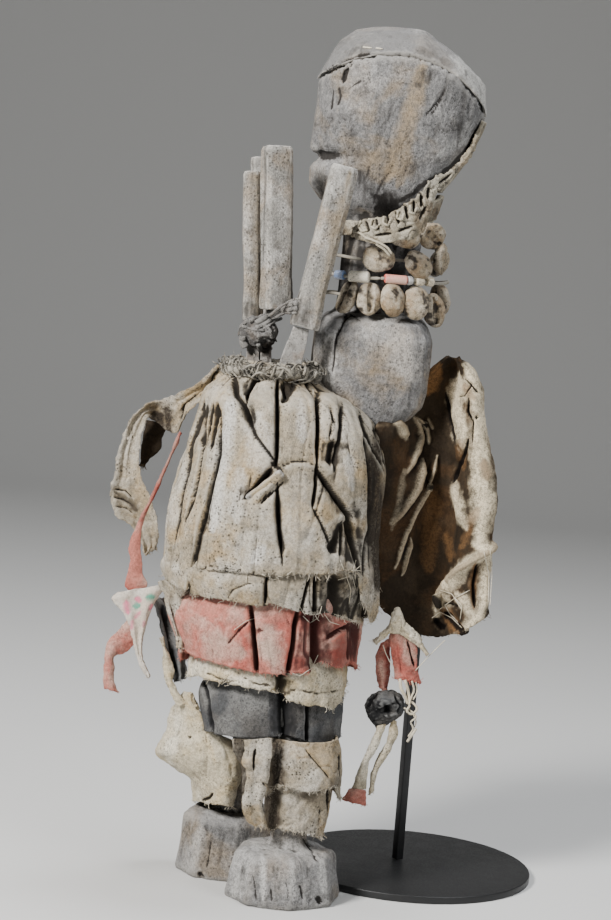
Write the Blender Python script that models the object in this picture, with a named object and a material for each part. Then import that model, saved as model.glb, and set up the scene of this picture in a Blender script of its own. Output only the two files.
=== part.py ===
# A power figure on its display stand: one carved wooden body, knives stuck in a gathered
# gown, wraps of old cloth, a necklace of shells and beads, and a steel disc with a rod.
# Metres, +Z up. The figure faces -Y, its left is +X, and it leans back to the rod.
# The origin is at the bottom centre of the whole piece.

from math import copysign, cos, degrees, exp, pi, radians, sin

import bmesh
import bpy
from mathutils import Matrix, Vector

# Driving sizes
FIGURE_HEIGHT = 0.575      # soles to the crown of the head
CLEARANCE = 0.0005         # between two pieces that touch
CLOTH = 0.0024             # a layer of stiff, dirty cloth
THICK_CLOTH = 0.0036       # the gown and the sleeves
HIDE = 0.0020              # the skin stretched over the crown
LEATHER = 0.0026           # the laced collar
HANDLE_FACETS = 8          # flats whittled round a handle
DISC_RADIUS = 0.086
DISC_THICKNESS = 0.005
ROD_WIDTH = 0.0058
ROD_HEIGHT = 0.340
ROD_PLACE = (-0.004, 0.119)      # from the middle of the feet
DISC_PLACE = (0.003, 0.1225)      # the rod stands a little off the disc's middle
SHELL_LENGTH = 0.022
SHELL_WIDTH = 0.014
SHELL_DEPTH = 0.011
STRING_RADIUS = 0.0011
BEAD_RADIUS = 0.0030

# Carving and drapery are told in parts of the figure's height, 575 of them
PART = FIGURE_HEIGHT / 575
TURN = radians(33)         # the head, the shoulders and the dress look to the figure's right
FULL = 2 * pi

WOOD = ("wood", (0.32, 0.29, 0.26), 0.85, 0.0)
CHALKY_WOOD = ("handle_wood", (0.36, 0.34, 0.31), 0.8, 0.0)
CANVAS = ("canvas", (0.42, 0.37, 0.29), 0.95, 0.0)
BROWN_CLOTH = ("brown_cloth", (0.21, 0.14, 0.09), 0.95, 0.0)
RED_CLOTH = ("red_cloth", (0.45, 0.09, 0.07), 0.95, 0.0)
DARK_CLOTH = ("dark_cloth", (0.10, 0.11, 0.12), 0.95, 0.0)
PALE_CLOTH = ("pale_cloth", (0.55, 0.52, 0.46), 0.95, 0.0)
PRINT_CLOTH = ("print_cloth", (0.72, 0.62, 0.58), 0.95, 0.0)
SKIN = ("hide", (0.33, 0.31, 0.28), 0.8, 0.0)
COLLAR_LEATHER = ("leather", (0.47, 0.41, 0.31), 0.75, 0.0)
RESIN = ("resin_and_fibre", (0.20, 0.18, 0.16), 0.9, 0.0)
SHELL = ("cowrie", (0.50, 0.42, 0.31), 0.5, 0.0)
STRING = ("string", (0.35, 0.30, 0.24), 0.9, 0.0)
IRON = ("iron", (0.26, 0.23, 0.20), 0.6, 0.8)
STEEL = ("blackened_steel", (0.03, 0.03, 0.035), 0.35, 0.9)

materials = {}


def clear_scene():
    for thing in list(bpy.data.objects):
        bpy.data.objects.remove(thing, do_unlink=True)


def material(finish):
    name, colour, roughness, metallic = finish
    if name not in materials:
        made = bpy.data.materials.new(name)
        made.use_nodes = True
        shader = made.node_tree.nodes["Principled BSDF"]
        shader.inputs["Base Color"].default_value = (*colour, 1.0)
        shader.inputs["Roughness"].default_value = roughness
        shader.inputs["Metallic"].default_value = metallic
        materials[name] = made
    return materials[name]


def add_piece(name, shape, finish, smooth=40):
    """Puts a bmesh told in metres into the scene as one named piece."""
    mesh = bpy.data.meshes.new(name)
    shape.to_mesh(mesh)
    shape.free()
    mesh.materials.append(material(finish))
    mesh.shade_smooth()
    mesh.set_sharp_from_angle(angle=radians(smooth))
    thing = bpy.data.objects.new(name, mesh)
    bpy.context.collection.objects.link(thing)
    return thing


def as_tool(thing):
    thing.hide_render = True
    thing.display_type = "WIRE"
    return thing


def combine(thing, tool, operation="DIFFERENCE"):
    step = thing.modifiers.new(operation.lower() + "_" + tool.name, "BOOLEAN")
    step.operation = operation
    step.object = tool
    step.solver = "EXACT"


def thicken(thing, thickness):
    step = thing.modifiers.new("thickness", "SOLIDIFY")
    step.thickness = thickness
    step.offset = 0.0
    step.use_even_offset = True
    return thing


def loft(rings):
    """Skins rings of points with triangles, low to high, and closes both ends with a flat face."""
    shape = bmesh.new()
    rows = [[shape.verts.new(point) for point in ring] for ring in rings]
    count = len(rings[0])
    for low, high in zip(rows, rows[1:]):
        for i in range(count):
            j = (i + 1) % count
            shape.faces.new((low[i], low[j], high[j]))
            shape.faces.new((low[i], high[j], high[i]))
    shape.faces.new(rows[0])
    shape.faces.new(rows[-1])
    bmesh.ops.recalc_face_normals(shape, faces=shape.faces)
    return shape


def grid(points, wrap=False):
    """An open sheet through rows of points; wrap joins the ends of each row."""
    shape = bmesh.new()
    rows = [[shape.verts.new(point) for point in row] for row in points]
    count = len(points[0])
    for low, high in zip(rows, rows[1:]):
        for i in range(count if wrap else count - 1):
            j = (i + 1) % count
            shape.faces.new((low[i], low[j], high[j], high[i]))
    return shape


def around(middle, reach, angle, turn=TURN, power=2.0):
    """A point of an oval in parts: 0 is its left, +90 degrees its back; reach is side, front, back."""
    side, front, back = reach
    c, s = cos(angle), sin(angle)
    left = copysign(abs(c) ** (2 / power), c) * side
    rear = copysign(abs(s) ** (2 / power), s) * (back if s > 0 else front)
    return (middle[0] + left * cos(turn) + rear * sin(turn),
            middle[1] - left * sin(turn) + rear * cos(turn))


def turned(rear, left, up):
    """A point told in parts along the turned shoulders, from the middle of the feet."""
    x, y = around((0, 0), (1, 1, 1), 0)
    side = Vector((x, y, 0))
    back = Vector((*around((0, 0), (1, 1, 1), pi / 2), 0))
    return (side * left + back * rear + Vector((0, 0, up))) * PART


def curve_through(points, steps):
    """Reads a smooth curve through points, steps to a span."""
    ends = [points[0] * 2 - points[1], *points, points[-1] * 2 - points[-2]]
    path = []
    for a, b, c, d in zip(ends, ends[1:], ends[2:], ends[3:]):
        for k in range(steps):
            t = k / steps
            path.append(0.5 * ((2 * b) + (c - a) * t + (2 * a - 5 * b + 4 * c - d) * t * t
                               + (3 * b - a - 3 * c + d) * t ** 3))
    return path + [points[-1]]


def between(rows, at):
    """Reads a table of rows that start with a height, straight between two rows."""
    if at <= rows[0][0]:
        return rows[0][1:]
    for low, high in zip(rows, rows[1:]):
        if at <= high[0]:
            share = (at - low[0]) / (high[0] - low[0])
            return [a + (b - a) * share for a, b in zip(low[1:], high[1:])]
    return rows[-1][1:]


def nearness(angle, spot, width):
    """1 at a spot round the body, falling smoothly to 0 beside it."""
    apart = (angle - spot + pi) % FULL - pi
    return exp(-(apart / width) ** 2)


# The carved body

# Each station of the trunk: height, middle x, middle y, side, front and back reach, squareness, turn
TRUNK = (
    (104, 0, 4, 38, 22, 22, 2.6, 0.0),
    (116, 0, 4, 38, 26, 26, 2.4, 0.0),
    (160, 0, 6, 38, 28, 28, 2.2, 0.0),
    (210, 0, 12, 37, 28, 28, 2.2, 0.1),
    (255, 0, 24, 36, 28, 28, 2.2, 0.3),
    (295, 0, 42, 38, 29, 29, 2.4, 0.6),
    (318, 0, 54, 43, 33, 33, 3.0, 0.9),
    (328, 0, 59, 47, 38, 38, 4.0, 1.0),
    (345, 0, 60, 49, 40, 39, 4.5, 1.0),
    (372, 0, 60, 49, 40, 39, 4.5, 1.0),
    (383, 0, 60, 44, 35, 34, 4.0, 1.0),
    (387, 0, 60, 33, 28, 28, 3.0, 1.0),
)
NECK = (
    (380, 0, 59, 24, 27, 27, 2.0, 1.0),
    (400, 0, 59, 23, 26, 26, 2.0, 1.0),
    (435, 0, 61, 23, 26, 27, 2.0, 1.0),
    (462, 0, 62, 25, 28, 30, 2.0, 1.0),
)
HEAD_MIDDLE = (0.5, 66.0)
HEAD_CENTRE_UP = 515
HEAD_INRADIUS = 40         # from that centre to the nearest of the crown's flats
# The head's profile: height, reach to the face, to the back and to each side
HEAD = (
    (445, 12, 6, 11),
    (451, 30, 14, 24),
    (459, 48, 20, 32),
    (470, 57, 28, 36),
    (482, 57, 37, 38),
    (486, 52, 39, 39),
    (489, 44, 41, 40),
    (492, 58, 43, 41),
    (505, 57, 49.5, 44),
    (520, 56, 55, 46),
    (540, 53, 54, 47),
    (555, 45, 40, 43),
    (564, 40, 24, 35),
    (570, 32, 15, 26),
    (572.5, 22, 8, 15),
)
HEAD_SIDES = 20
TRUNK_SIDES = 16

# The edge of the skin over the crown: low in front, high over the temples, dropped at the back
CAP_ROWS = 4
CAP_LOW = 538
CAP_SIDE_RISE = 17
CAP_BACK_DROP = 16


def stations(rows, sides, grow=0.0):
    """Rings of an upright carved form, grown outwards by a distance in metres."""
    more = grow / PART
    rings = []
    for row in rows:
        up, x, y, side, front, back, power, share = row
        reach = (side + more, front + more, back + more)
        if row is rows[0]:
            up -= more
        if row is rows[-1]:
            up += more
        ring = []
        for i in range(sides):
            spot = around((x, y), reach, FULL * i / sides, TURN * share, power)
            ring.append(Vector((*spot, up)) * PART)
        rings.append(ring)
    return rings


def head_point(angle, up, scale=1.0):
    """A point of the head's skin; scale swells it about the head's centre."""
    front, back, side = between(HEAD, up)
    spot = Vector((*around(HEAD_MIDDLE, (side, front, back), angle, TURN, 2.5), up))
    centre = Vector((*HEAD_MIDDLE, HEAD_CENTRE_UP))
    return (centre + (spot - centre) * scale) * PART


def cap_edge(angle):
    """The height of the cap's edge at a bearing."""
    return CAP_LOW + CAP_SIDE_RISE * cos(angle) ** 2 - CAP_BACK_DROP * max(0.0, sin(angle)) ** 2


def crown_ring(step, scale=1.0):
    """A ring of the crown, from the cap's edge (step 0) to the top of the head (step CAP_ROWS)."""
    ring = []
    for i in range(HEAD_SIDES):
        angle = FULL * i / HEAD_SIDES
        low = cap_edge(angle)
        up = low + (HEAD[-1][0] - low) * sin(pi / 2 * step / CAP_ROWS)
        ring.append(head_point(angle, up, scale))
    return ring


def head_rings(scale=1.0):
    rings = [[head_point(FULL * i / HEAD_SIDES, row[0], scale) for i in range(HEAD_SIDES)]
             for row in HEAD if row[0] < CAP_LOW - CAP_BACK_DROP]
    return rings + [crown_ring(step, scale) for step in range(CAP_ROWS + 1)]


# Feet and legs. Each foot: side of the body and height
FEET = {"left": (1, 33), "right": (-1, 41)}
FOOT_SPREAD = 34           # from the body's middle to the middle of a foot
FOOT_SIDE = 33             # half the width and half the length of a block, across its flats
FOOT_LENGTH = 37
FOOT_CORNER = 1.06         # from half the width of an octagon to its corners
# Sections of a foot: share of its height, more parts, scale
FOOT_ROWS = ((0, 0, 1.0), (0, 2, 1.02), (0.55, 0, 0.95), (1, -3, 0.90), (1, 0, 0.82), (1, 2, 0.55))
LEG_RADIUS = 13
LEG_SIDES = 10
LEG_TOP = 112              # inside the trunk
LEG_KNEE = 70
LEG_SINK = 12              # into the foot
LEG_CLEAR = 6              # above the foot
LEG_LEAN = 8               # towards the middle, over LEG_RUN parts of height from LEG_LOW
LEG_SET_BACK = 3
LEG_FRONT = 2
LEG_LOW = 30
LEG_RUN = 70


def foot_rings(side, height):
    """A tapered block with its corners cut off, with a bevelled rim."""
    rings = []
    for share, more, scale in FOOT_ROWS:
        ring = []
        for i in range(8):
            angle = FULL * (i + 0.5) / 8
            x = FOOT_SPREAD * side + FOOT_SIDE * FOOT_CORNER * scale * cos(angle)
            y = FOOT_LENGTH * FOOT_CORNER * scale * sin(angle)
            ring.append(Vector((x, y, height * share + more)) * PART)
        rings.append(ring)
    return rings


def leg_middle(side, up):
    share = (up - LEG_LOW) / LEG_RUN
    return Vector((side * (FOOT_SPREAD - LEG_LEAN * share), LEG_FRONT + LEG_SET_BACK * share, up))


def leg_rings(side, height, grow=0.0):
    rings = []
    reach = LEG_RADIUS + grow / PART
    turns = [FULL * i / LEG_SIDES for i in range(LEG_SIDES)]
    for up in (height - LEG_SINK, height + LEG_CLEAR, LEG_KNEE, LEG_TOP):
        middle = leg_middle(side, up)
        rings.append([(middle + Vector((cos(turn), sin(turn), 0)) * reach) * PART for turn in turns])
    return rings


def make_body():
    body = add_piece("carved_figure", loft(stations(TRUNK, TRUNK_SIDES)), WOOD)
    neck = as_tool(add_piece("neck_form", loft(stations(NECK, TRUNK_SIDES)), WOOD))
    head = as_tool(add_piece("head_form", loft(head_rings()), WOOD))
    combine(body, neck, "UNION")
    combine(body, head, "UNION")
    for name, (side, height) in FEET.items():
        leg = as_tool(add_piece(name + "_leg_form", loft(leg_rings(side, height)), WOOD))
        foot = as_tool(add_piece(name + "_foot_form", loft(foot_rings(side, height)), WOOD))
        combine(body, leg, "UNION")
        combine(body, foot, "UNION")


def make_cap():
    """Skin stretched over the crown: a dome hollowed by the head it sits on."""
    gap = 1 + CLEARANCE / (PART * HEAD_INRADIUS)
    skin = HIDE / (PART * HEAD_INRADIUS)
    cap = add_piece("hide_cap", loft([crown_ring(step, gap + skin) for step in range(CAP_ROWS + 1)]), SKIN)
    combine(cap, as_tool(add_piece("head_room", loft(head_rings(gap)), WOOD)))


# The laced leather collar and the strap that holds it to the cap
COLLAR_MIDDLE = (0, 61)
COLLAR_REACH = (25, 27, 29)      # the neck's side, front and back under it
COLLAR_EASE = 2.2
COLLAR_LOW = 438
COLLAR_BACK_UP = 15              # how far it climbs, widens and flares to the back
COLLAR_WIDTH = 9
COLLAR_BACK_WIDER = 7
COLLAR_FLARE = 2
COLLAR_START = radians(-62)
COLLAR_SWEEP = radians(290)
COLLAR_STEPS = 16
STRAP_SPREAD = radians(19)       # half of its width, as seen from the head's middle
STRAP_BELOW = 3                  # under the cap's edge
STRAP_RUN = 48
STRAP_ROWS = 5
STRAP_EASE = 0.0012              # clear of the flats of the head


def make_collar():
    rows = []
    for k in range(3):
        row = []
        for i in range(COLLAR_STEPS + 1):
            angle = COLLAR_START + COLLAR_SWEEP * i / COLLAR_STEPS
            rise = max(0.0, sin(angle)) ** 1.5
            up = COLLAR_LOW + COLLAR_BACK_UP * rise + (COLLAR_WIDTH + COLLAR_BACK_WIDER * rise) * k / 2
            out = LEATHER / PART + COLLAR_EASE + COLLAR_FLARE * k * rise
            reach = [neck + out for neck in COLLAR_REACH]
            row.append(Vector((*around(COLLAR_MIDDLE, reach, angle), up)) * PART)
        rows.append(row)
    thicken(add_piece("laced_collar", grid(rows), COLLAR_LEATHER), LEATHER)


def make_strap():
    """Runs down the back of the head from the cap's edge to the collar."""
    rows = []
    for k in range(STRAP_ROWS + 1):
        up = CAP_LOW - CAP_BACK_DROP - STRAP_BELOW - STRAP_RUN * k / STRAP_ROWS
        row = []
        for i in range(4):
            angle = pi / 2 + STRAP_SPREAD * (i - 1.5) / 1.5
            spot = head_point(angle, up, 1.0)
            centre = Vector((*HEAD_MIDDLE, up)) * PART
            out = (spot - centre).normalized()
            row.append(spot + out * (CLEARANCE + LEATHER / 2 + STRAP_EASE))
        rows.append(row)
    thicken(add_piece("nape_strap", grid(rows), COLLAR_LEATHER), LEATHER)


# Cowries: how the depth is shared between the humped back and the mouth side, and how far the slit sinks
SHELL_SIDES = 8
SHELL_ROWS = 5
SHELL_BACK = 0.62
SLIT_SINK = 0.6

# Necklace: three strings round the neck, from high to low. Bearings run from the left side to the back
NECK_MIDDLE = (0.5, 60.5)
NECK_NARROW = 2            # how much less the necklace reaches to the sides than to front and back
STRING_REACH = {"upper": 36, "bead": 44, "lower": 38}
BEADS_UP = 411
SHELL_SEAT = STRING_RADIUS + CLEARANCE + SHELL_DEPTH * (1 - SHELL_BACK)
# The upper shells lie along their string above the beads, and the lower ones hang from just under them
STRING_UPS = {
    "upper": BEADS_UP + (SHELL_WIDTH / 2 + BEAD_RADIUS) / PART + 2,
    "bead": BEADS_UP,
    "lower": BEADS_UP - (SHELL_LENGTH / 2 + BEAD_RADIUS) / PART + 1,
}
SHELL_LEANS = {"upper": -8, "lower": 12}
# Shells: distance along the string from the left side in shell lengths, reach beyond the seat on the string
# in shell depths, height over the string in shell widths, swing from upright
SHELLS = {
    "upper": ((-3.285, 0.11, 0.07, 70), (-0.085, 0.20, 0.07, 78), (0.885, 0.20, -0.07, 66),
              (0.515, -0.07, 1.21, 84), (1.34, 0.02, 1.285, 62), (1.885, 0.02, 0.285, 18),
              (3.37, 0.11, 0.07, 66)),
    "lower": ((-3.165, 0.02, 0.0, 12), (-0.845, 0.02, -0.07, -16), (-0.24, 0.11, -0.07, 3),
              (0.33, 0.11, -0.07, 8), (0.935, 0.11, -0.14, -4), (1.535, 0.20, -0.43, 6),
              (3.375, 0.02, 0.0, -12)),
}
BEADS = ((-35, 7, "blue"), (-18, 14, "white"), (12, 15, "coral"), (24, 4, "grey"),
         (33, 6, "pale"), (44, 6, "pale"), (-52, 8, "coral"))
BEAD_COLOURS = {"blue": (0.25, 0.35, 0.62), "white": (0.78, 0.74, 0.64), "coral": (0.66, 0.18, 0.12),
                "grey": (0.66, 0.66, 0.62), "pale": (0.68, 0.62, 0.50)}
STRING_STEPS = 16
STRING_SIDES = 4
BEAD_SIDES = 6


def on_neck(bearing, out, up):
    spot = around(NECK_MIDDLE, (out - NECK_NARROW, out, out), radians(bearing))
    return Vector((*spot, up)) * PART


def neck_frame(bearing, out, up, lean=0.0, swing=0.0):
    """Axes for a thing on the neck: X along the string, Y outwards, Z up, leant out at its top."""
    ahead = (on_neck(bearing - 1, out, up) - on_neck(bearing + 1, out, up)).normalized()
    outward = Vector((0, 0, 1)).cross(ahead).normalized()
    rise = Vector((0, 0, 1))
    turn = Matrix.Rotation(lean, 3, ahead)
    axes = Matrix((ahead, turn @ outward, turn @ rise)).transposed()
    axes = axes @ Matrix.Rotation(swing, 3, "Y")
    return Matrix.Translation(on_neck(bearing, out, up)) @ axes.to_4x4()


def shell_shape(length, width, depth):
    """A cowrie: a humped back, a flat mouth side with its slit, and one broader end."""
    rings = []
    for k in range(1, SHELL_ROWS):
        share = k / SHELL_ROWS
        along = -cos(pi * share) * length / 2
        swell = sin(pi * share) ** 0.75 * (1 + 0.10 * cos(pi * share))
        ring = []
        for i in range(SHELL_SIDES):
            angle = FULL * i / SHELL_SIDES
            y = sin(angle)
            reach = y * depth * (SHELL_BACK if y > 0 else 1 - SHELL_BACK)
            if i == SHELL_SIDES * 3 // 4:
                reach *= SLIT_SINK
            ring.append(Vector((cos(angle) * width / 2 * swell, reach * swell, along)))
        rings.append(ring)
    return loft(rings)


def make_necklace():
    for row, marks in SHELLS.items():
        lean = radians(SHELL_LEANS[row])
        for number, (along, out, up, swing) in enumerate(marks, 1):
            shape = shell_shape(SHELL_LENGTH, SHELL_WIDTH, SHELL_DEPTH)
            bearing = degrees(along * SHELL_LENGTH / (STRING_REACH[row] * PART))
            reach = STRING_REACH[row] + (SHELL_SEAT + out * SHELL_DEPTH) / PART
            rise = STRING_UPS[row] + up * SHELL_WIDTH / PART
            shape.transform(neck_frame(bearing, reach, rise, lean, radians(swing)))
            add_piece(f"{row}_cowrie_{number}", shape, SHELL, 60)
        add_piece(f"{row}_shell_string", string_ring(STRING_REACH[row], STRING_UPS[row]), STRING)
    string = add_piece("bead_string", string_ring(STRING_REACH["bead"], STRING_UPS["bead"]), STRING)
    for number, (bearing, length, colour) in enumerate(BEADS, 1):
        half = length * PART / 2
        swell = 1.25 if colour == "white" else 1.0
        rings = []
        turns = [FULL * i / BEAD_SIDES for i in range(BEAD_SIDES)]
        for along, reach in ((-half, 0.62), (-half * 0.6, swell), (half * 0.6, swell), (half, 0.62)):
            out = BEAD_RADIUS * reach
            rings.append([Vector((along, cos(turn) * out, sin(turn) * out)) for turn in turns])
        shape = loft(rings)
        shape.transform(neck_frame(bearing, STRING_REACH["bead"], STRING_UPS["bead"]))
        finish = (colour + "_glass", BEAD_COLOURS[colour], 0.35, 0.0)
        combine(string, as_tool(add_piece(f"{colour}_bead_{number}", shape, finish)), "UNION")


def string_ring(out, up):
    """A ring of string round the neck."""
    rows = []
    for i in range(STRING_STEPS):
        middle = on_neck(360 * i / STRING_STEPS, out, up)
        away = (middle - Vector((*NECK_MIDDLE, up)) * PART).normalized()
        turns = [FULL * j / STRING_SIDES for j in range(STRING_SIDES)]
        rows.append([middle + (away * cos(a) + Vector((0, 0, sin(a)))) * STRING_RADIUS for a in turns])
    return grid_ring(rows)


def grid_ring(rows):
    """A closed tube through rings of points whose last ring meets the first."""
    shape = grid(rows + [rows[0]], wrap=True)
    bmesh.ops.remove_doubles(shape, verts=shape.verts, dist=1e-7)
    bmesh.ops.recalc_face_normals(shape, faces=shape.faces)
    return shape


# The gown: gathered at a cord in front of the chest, hanging round the body
TIE_MIDDLE = (1, -27)
TIE_UP = 350
TIE_SIDE = 32
TIE_DEPTH = 35
TIE_STEPS = 24
TIE_SIDES = 6
# The tie's thickness, and how it swells and shrinks round the ring: waves, depth, start
TIE_FAT = 5.2
TIE_WAVES = ((5, 0.7, 0.0), (9, 0.5, 1.0))
GOWN_HEM = 206
GOWN_LINED_ROWS = 3        # from the hem up, where the gown hangs free of the trunk
FOLDS_AT_TIE = 0.35        # how much of the folds' depth is left at the tie
FOLDS_RUN = 90             # parts below the tie where the folds near their full depth
FOLD_SWELL = 1.6           # how far the cloth stands out between folds
# The hem's waves: number, depth, start; and where it drops: bearing, half width, depth
HEM_WAVES = ((3, 2.0, 0.8), (7, 1.2, 0.0))
HEM_DROP = (66, 17, 20)
PLAIN_STRETCH = 22         # degrees between two points where the cloth has no fold
# Height, middle x, middle y, side, front and back reach
GOWN = (
    (GOWN_HEM, -1, -3, 70, 75, 74),
    (256, -1, -3, 68, 73, 75),
    (296, -1, -3, 62, 64, 78),
    (316, 0, -7, 54, 56, 74),
    (330, 0, -15, 45, 46, 56),
    (341, 1, -26, 27, 30, 30),
    (353, 1, -27, 24, 27, 27),
)
# Folds of the gown: bearing, half width in degrees, depth in parts
GOWN_FOLDS = ((-84, 4, 4), (-73, 4, 4), (-62, 4, 4), (-51, 3, 7), (-27, 5, 2), (-3, 3, 6), (22, 3, 6),
              (38, 4, 5), (52, 4, 6), (66, 4, 6), (86, 6, 5), (112, 7, 5), (140, 7, 5), (172, 8, 5),
              (204, 8, 5), (235, 8, 5), (260, 5, 4))


def folds(angle, marks):
    return sum(depth * nearness(angle, radians(bearing), radians(width)) for bearing, width, depth in marks)


def fold_angles(marks):
    """Bearings that catch each fold's bottom and its two lips, and the middle of each plain stretch."""
    spots = []
    for bearing, width, depth in marks:
        spots += [bearing - width * 1.3, bearing, bearing + width * 1.3]
    spots.sort()
    filled = []
    for spot, following in zip(spots, spots[1:] + [spots[0] + 360]):
        count = max(1, round((following - spot) / PLAIN_STRETCH))
        filled += [radians(spot + (following - spot) * k / count) for k in range(count)]
    return filled


def waves(angle, marks):
    return sum(depth * sin(number * angle + start) for number, depth, start in marks)


def gown_hang(angle):
    """How far the hem lifts: it is uneven, and drops in the folds behind the left hip."""
    bearing, width, depth = HEM_DROP
    return waves(angle, HEM_WAVES) - depth * nearness(angle, radians(bearing), radians(width))


def gown_ring(row, inside=0.0):
    up, x, y, side, front, back = row
    slack = min(1.0, FOLDS_AT_TIE + (GOWN[-1][0] - up) / FOLDS_RUN)
    ring = []
    for angle in fold_angles(GOWN_FOLDS):
        into = folds(angle, GOWN_FOLDS) * slack + inside - FOLD_SWELL * slack
        hang = gown_hang(angle) if up == GOWN_HEM else 0
        spot = around((x, y), (side - into, front - into, back - into), angle)
        ring.append(Vector((*spot, up + hang)) * PART)
    return ring


def make_gown():
    wall = THICK_CLOTH / PART
    inner = [gown_ring(row, wall) for row in reversed(GOWN[:GOWN_LINED_ROWS])]
    outer = [gown_ring(row) for row in GOWN]
    gown = add_piece("gathered_gown", loft(inner + outer), CANVAS)
    room = as_tool(add_piece("trunk_room", loft(stations(TRUNK, TRUNK_SIDES, CLEARANCE)), WOOD))
    combine(gown, room)
    return gown, room


def softened(marks, share):
    return tuple((bearing, width, depth * share) for bearing, width, depth in marks)


# Skirts under the gown, outermost first. Each hugs the trunk at its top, flares, and hangs to its hem.
# Name, finish, height at the trunk, height of full width, hem, side, front, back, folds, hem drop at the left
UNDER_FOLDS = softened(GOWN_FOLDS, 0.4)
RED_FOLDS = ((-60, 4, 2), (-16, 4, 4), (9, 4, 4), (27, 4, 4), (44, 4, 4), (66, 6, 4), (110, 8, 4),
             (170, 9, 4), (230, 8, 3))
BAND_FOLDS = softened(RED_FOLDS, 0.5)
DARK_FOLDS = ((-45, 5, 2), (8, 4, 3.5), (29, 4, 2.5), (62, 6, 2), (120, 8, 2), (200, 8, 2))
SKIRTS = (
    ("under_gown_hem", CANVAS, 240, 224, 188, 62, 66.5, 65.5, UNDER_FOLDS, 5),
    ("red_band", RED_CLOTH, 222, 202, 149, 56.5, 59.5, 58.5, RED_FOLDS, 0),
    ("frayed_under_band", PALE_CLOTH, 176, 152, 139, 51, 54, 53, BAND_FOLDS, 8),
    ("dark_band", DARK_CLOTH, 156, 134, 103, 44.5, 47.5, 47, DARK_FOLDS, 2),
)
SKIRT_EASE = 1.8           # between a skirt's top and the trunk
SKIRT_MIDDLE = (-1, -2)
SKIRT_DROP = (28, 30)      # bearing and half width of the drop
SKIRT_WAVES = (5, 1.5)     # number and depth of the hem's waves


def make_skirt(name, finish, top, wide, hem, side, front, back, marks, drop):
    trunk = between(TRUNK, top)
    share_turn = trunk[6]
    hold = (CLOTH / 2 + CLEARANCE) / PART + SKIRT_EASE
    spot, width = SKIRT_DROP
    number, depth = SKIRT_WAVES
    rows = []
    for up, share in ((hem, 1.0), (wide, 0.97), (top, 0.0)):
        row = []
        for angle in fold_angles(marks):
            into = folds(angle, marks) * share
            close = around(trunk[:2], [r + hold for r in trunk[2:5]], angle - TURN * (1 - share_turn),
                           TURN * share_turn, trunk[5])
            far = around(SKIRT_MIDDLE, (side - into, front - into, back - into), angle)
            dip = drop * nearness(angle, radians(spot), radians(width)) - depth * sin(number * angle + side)
            row.append(Vector((close[0] + (far[0] - close[0]) * share, close[1] + (far[1] - close[1]) * share,
                               up - (dip if up == hem else 0))) * PART)
        rows.append(row)
    thicken(add_piece(name, grid(rows, wrap=True), finish), CLOTH)


# Wraps of the legs. Each ring: height, shift from the leg's middle, side, front and back reach
LEG_BAND = ((71, 5, 2, 26, 25, 25), (88, 7, 3, 26, 25, 25), (96, 2, 1, 17.5, 17.5, 17.5))
LEG_WRAP = ((45, 3, 2, 20, 20, 20), (63, 5, 2, 20.5, 20, 20), (79, 1, 0, 16.5, 16.5, 16.5))
LEG_WAVES = (4, 1.5)
POUCH = ((52, -3, -2, 20, 23, 21), (64, -6, -10, 22, 31, 23), (82, -9, -18, 22, 38, 24),
         (93, -10, -19, 20, 34, 23), (98, -4, -8, 17, 20, 18))
POUCH_SIDES = 18
POUCH_EASE = 2.0           # between the pouch and the leg
# The corner that juts forward: bearing, half width, how far, lowest height, and the share that juts below that
POUCH_CORNER = (-96, 22, 9, 80, 0.3)


def make_leg_wrap(name, finish, side, rows, marks, sides=16):
    number, depth = LEG_WAVES
    rings = []
    for up, shift_x, shift_y, wide, front, back in rows:
        middle = leg_middle(side, up) + Vector((shift_x, shift_y, 0))
        ring = []
        for i in range(sides):
            angle = FULL * i / sides
            into = folds(angle, marks)
            spot = around(middle[:2], (wide - into, front - into, back - into), angle)
            ring.append(Vector((*spot, up + depth * sin(number * angle))) * PART)
        rings.append(ring)
    return add_piece(name, grid(rings, wrap=True), finish)


def make_leg_cloths():
    thicken(make_leg_wrap("pale_leg_band", PALE_CLOTH, 1, LEG_BAND, ((4, 9, 1.5),)), CLOTH)
    thicken(make_leg_wrap("left_leg_wrap", CANVAS, 1, LEG_WRAP, ((40, 9, 1),)), CLOTH)
    make_pouch()


def make_pouch():
    """A bag of cloth bound over the right leg, with a corner that juts forward."""
    bearing, width, depth, corner_up, low_share = POUCH_CORNER
    rings = []
    for up, shift_x, shift_y, wide, front, back in POUCH:
        middle = leg_middle(-1, up) + Vector((shift_x, shift_y, 0))
        ring = []
        for i in range(POUCH_SIDES):
            angle = FULL * i / POUCH_SIDES
            share = 1 if up > corner_up else low_share
            jut = depth * nearness(angle, radians(bearing), radians(width)) * share
            spot = around(middle[:2], (wide, front + jut, back), angle)
            ring.append(Vector((*spot, up)) * PART)
        rings.append(ring)
    pouch = add_piece("right_leg_pouch", loft(rings), PALE_CLOTH)
    room = CLEARANCE + POUCH_EASE * PART
    leg = as_tool(add_piece("leg_room", loft(leg_rings(-1, FEET["right"][1], room)), WOOD))
    combine(pouch, leg)


# Loose strips of cloth. Each point is its place behind, left and above the feet's middle, and its width.
def make_strip(name, finish, points, facing, thickness=CLOTH, steps=2):
    """A flat strip along a smooth path; facing is the way its flat side looks, behind, left and up."""
    path = curve_through([turned(*point[:3]) for point in points], steps)
    widths = curve_through([Vector((point[3], 0, 0)) for point in points], steps)
    look = turned(*facing).normalized()
    rings = []
    for k, spot in enumerate(path):
        ahead = (path[min(k + 1, len(path) - 1)] - path[max(k - 1, 0)]).normalized()
        side = look.cross(ahead).normalized()
        flat = ahead.cross(side)
        half = side * widths[k].x * PART / 2
        skin = flat * thickness / 2
        rings.append([spot - half - skin, spot + half - skin, spot + half + skin, spot - half + skin])
    add_piece(name, loft(rings), finish)


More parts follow.
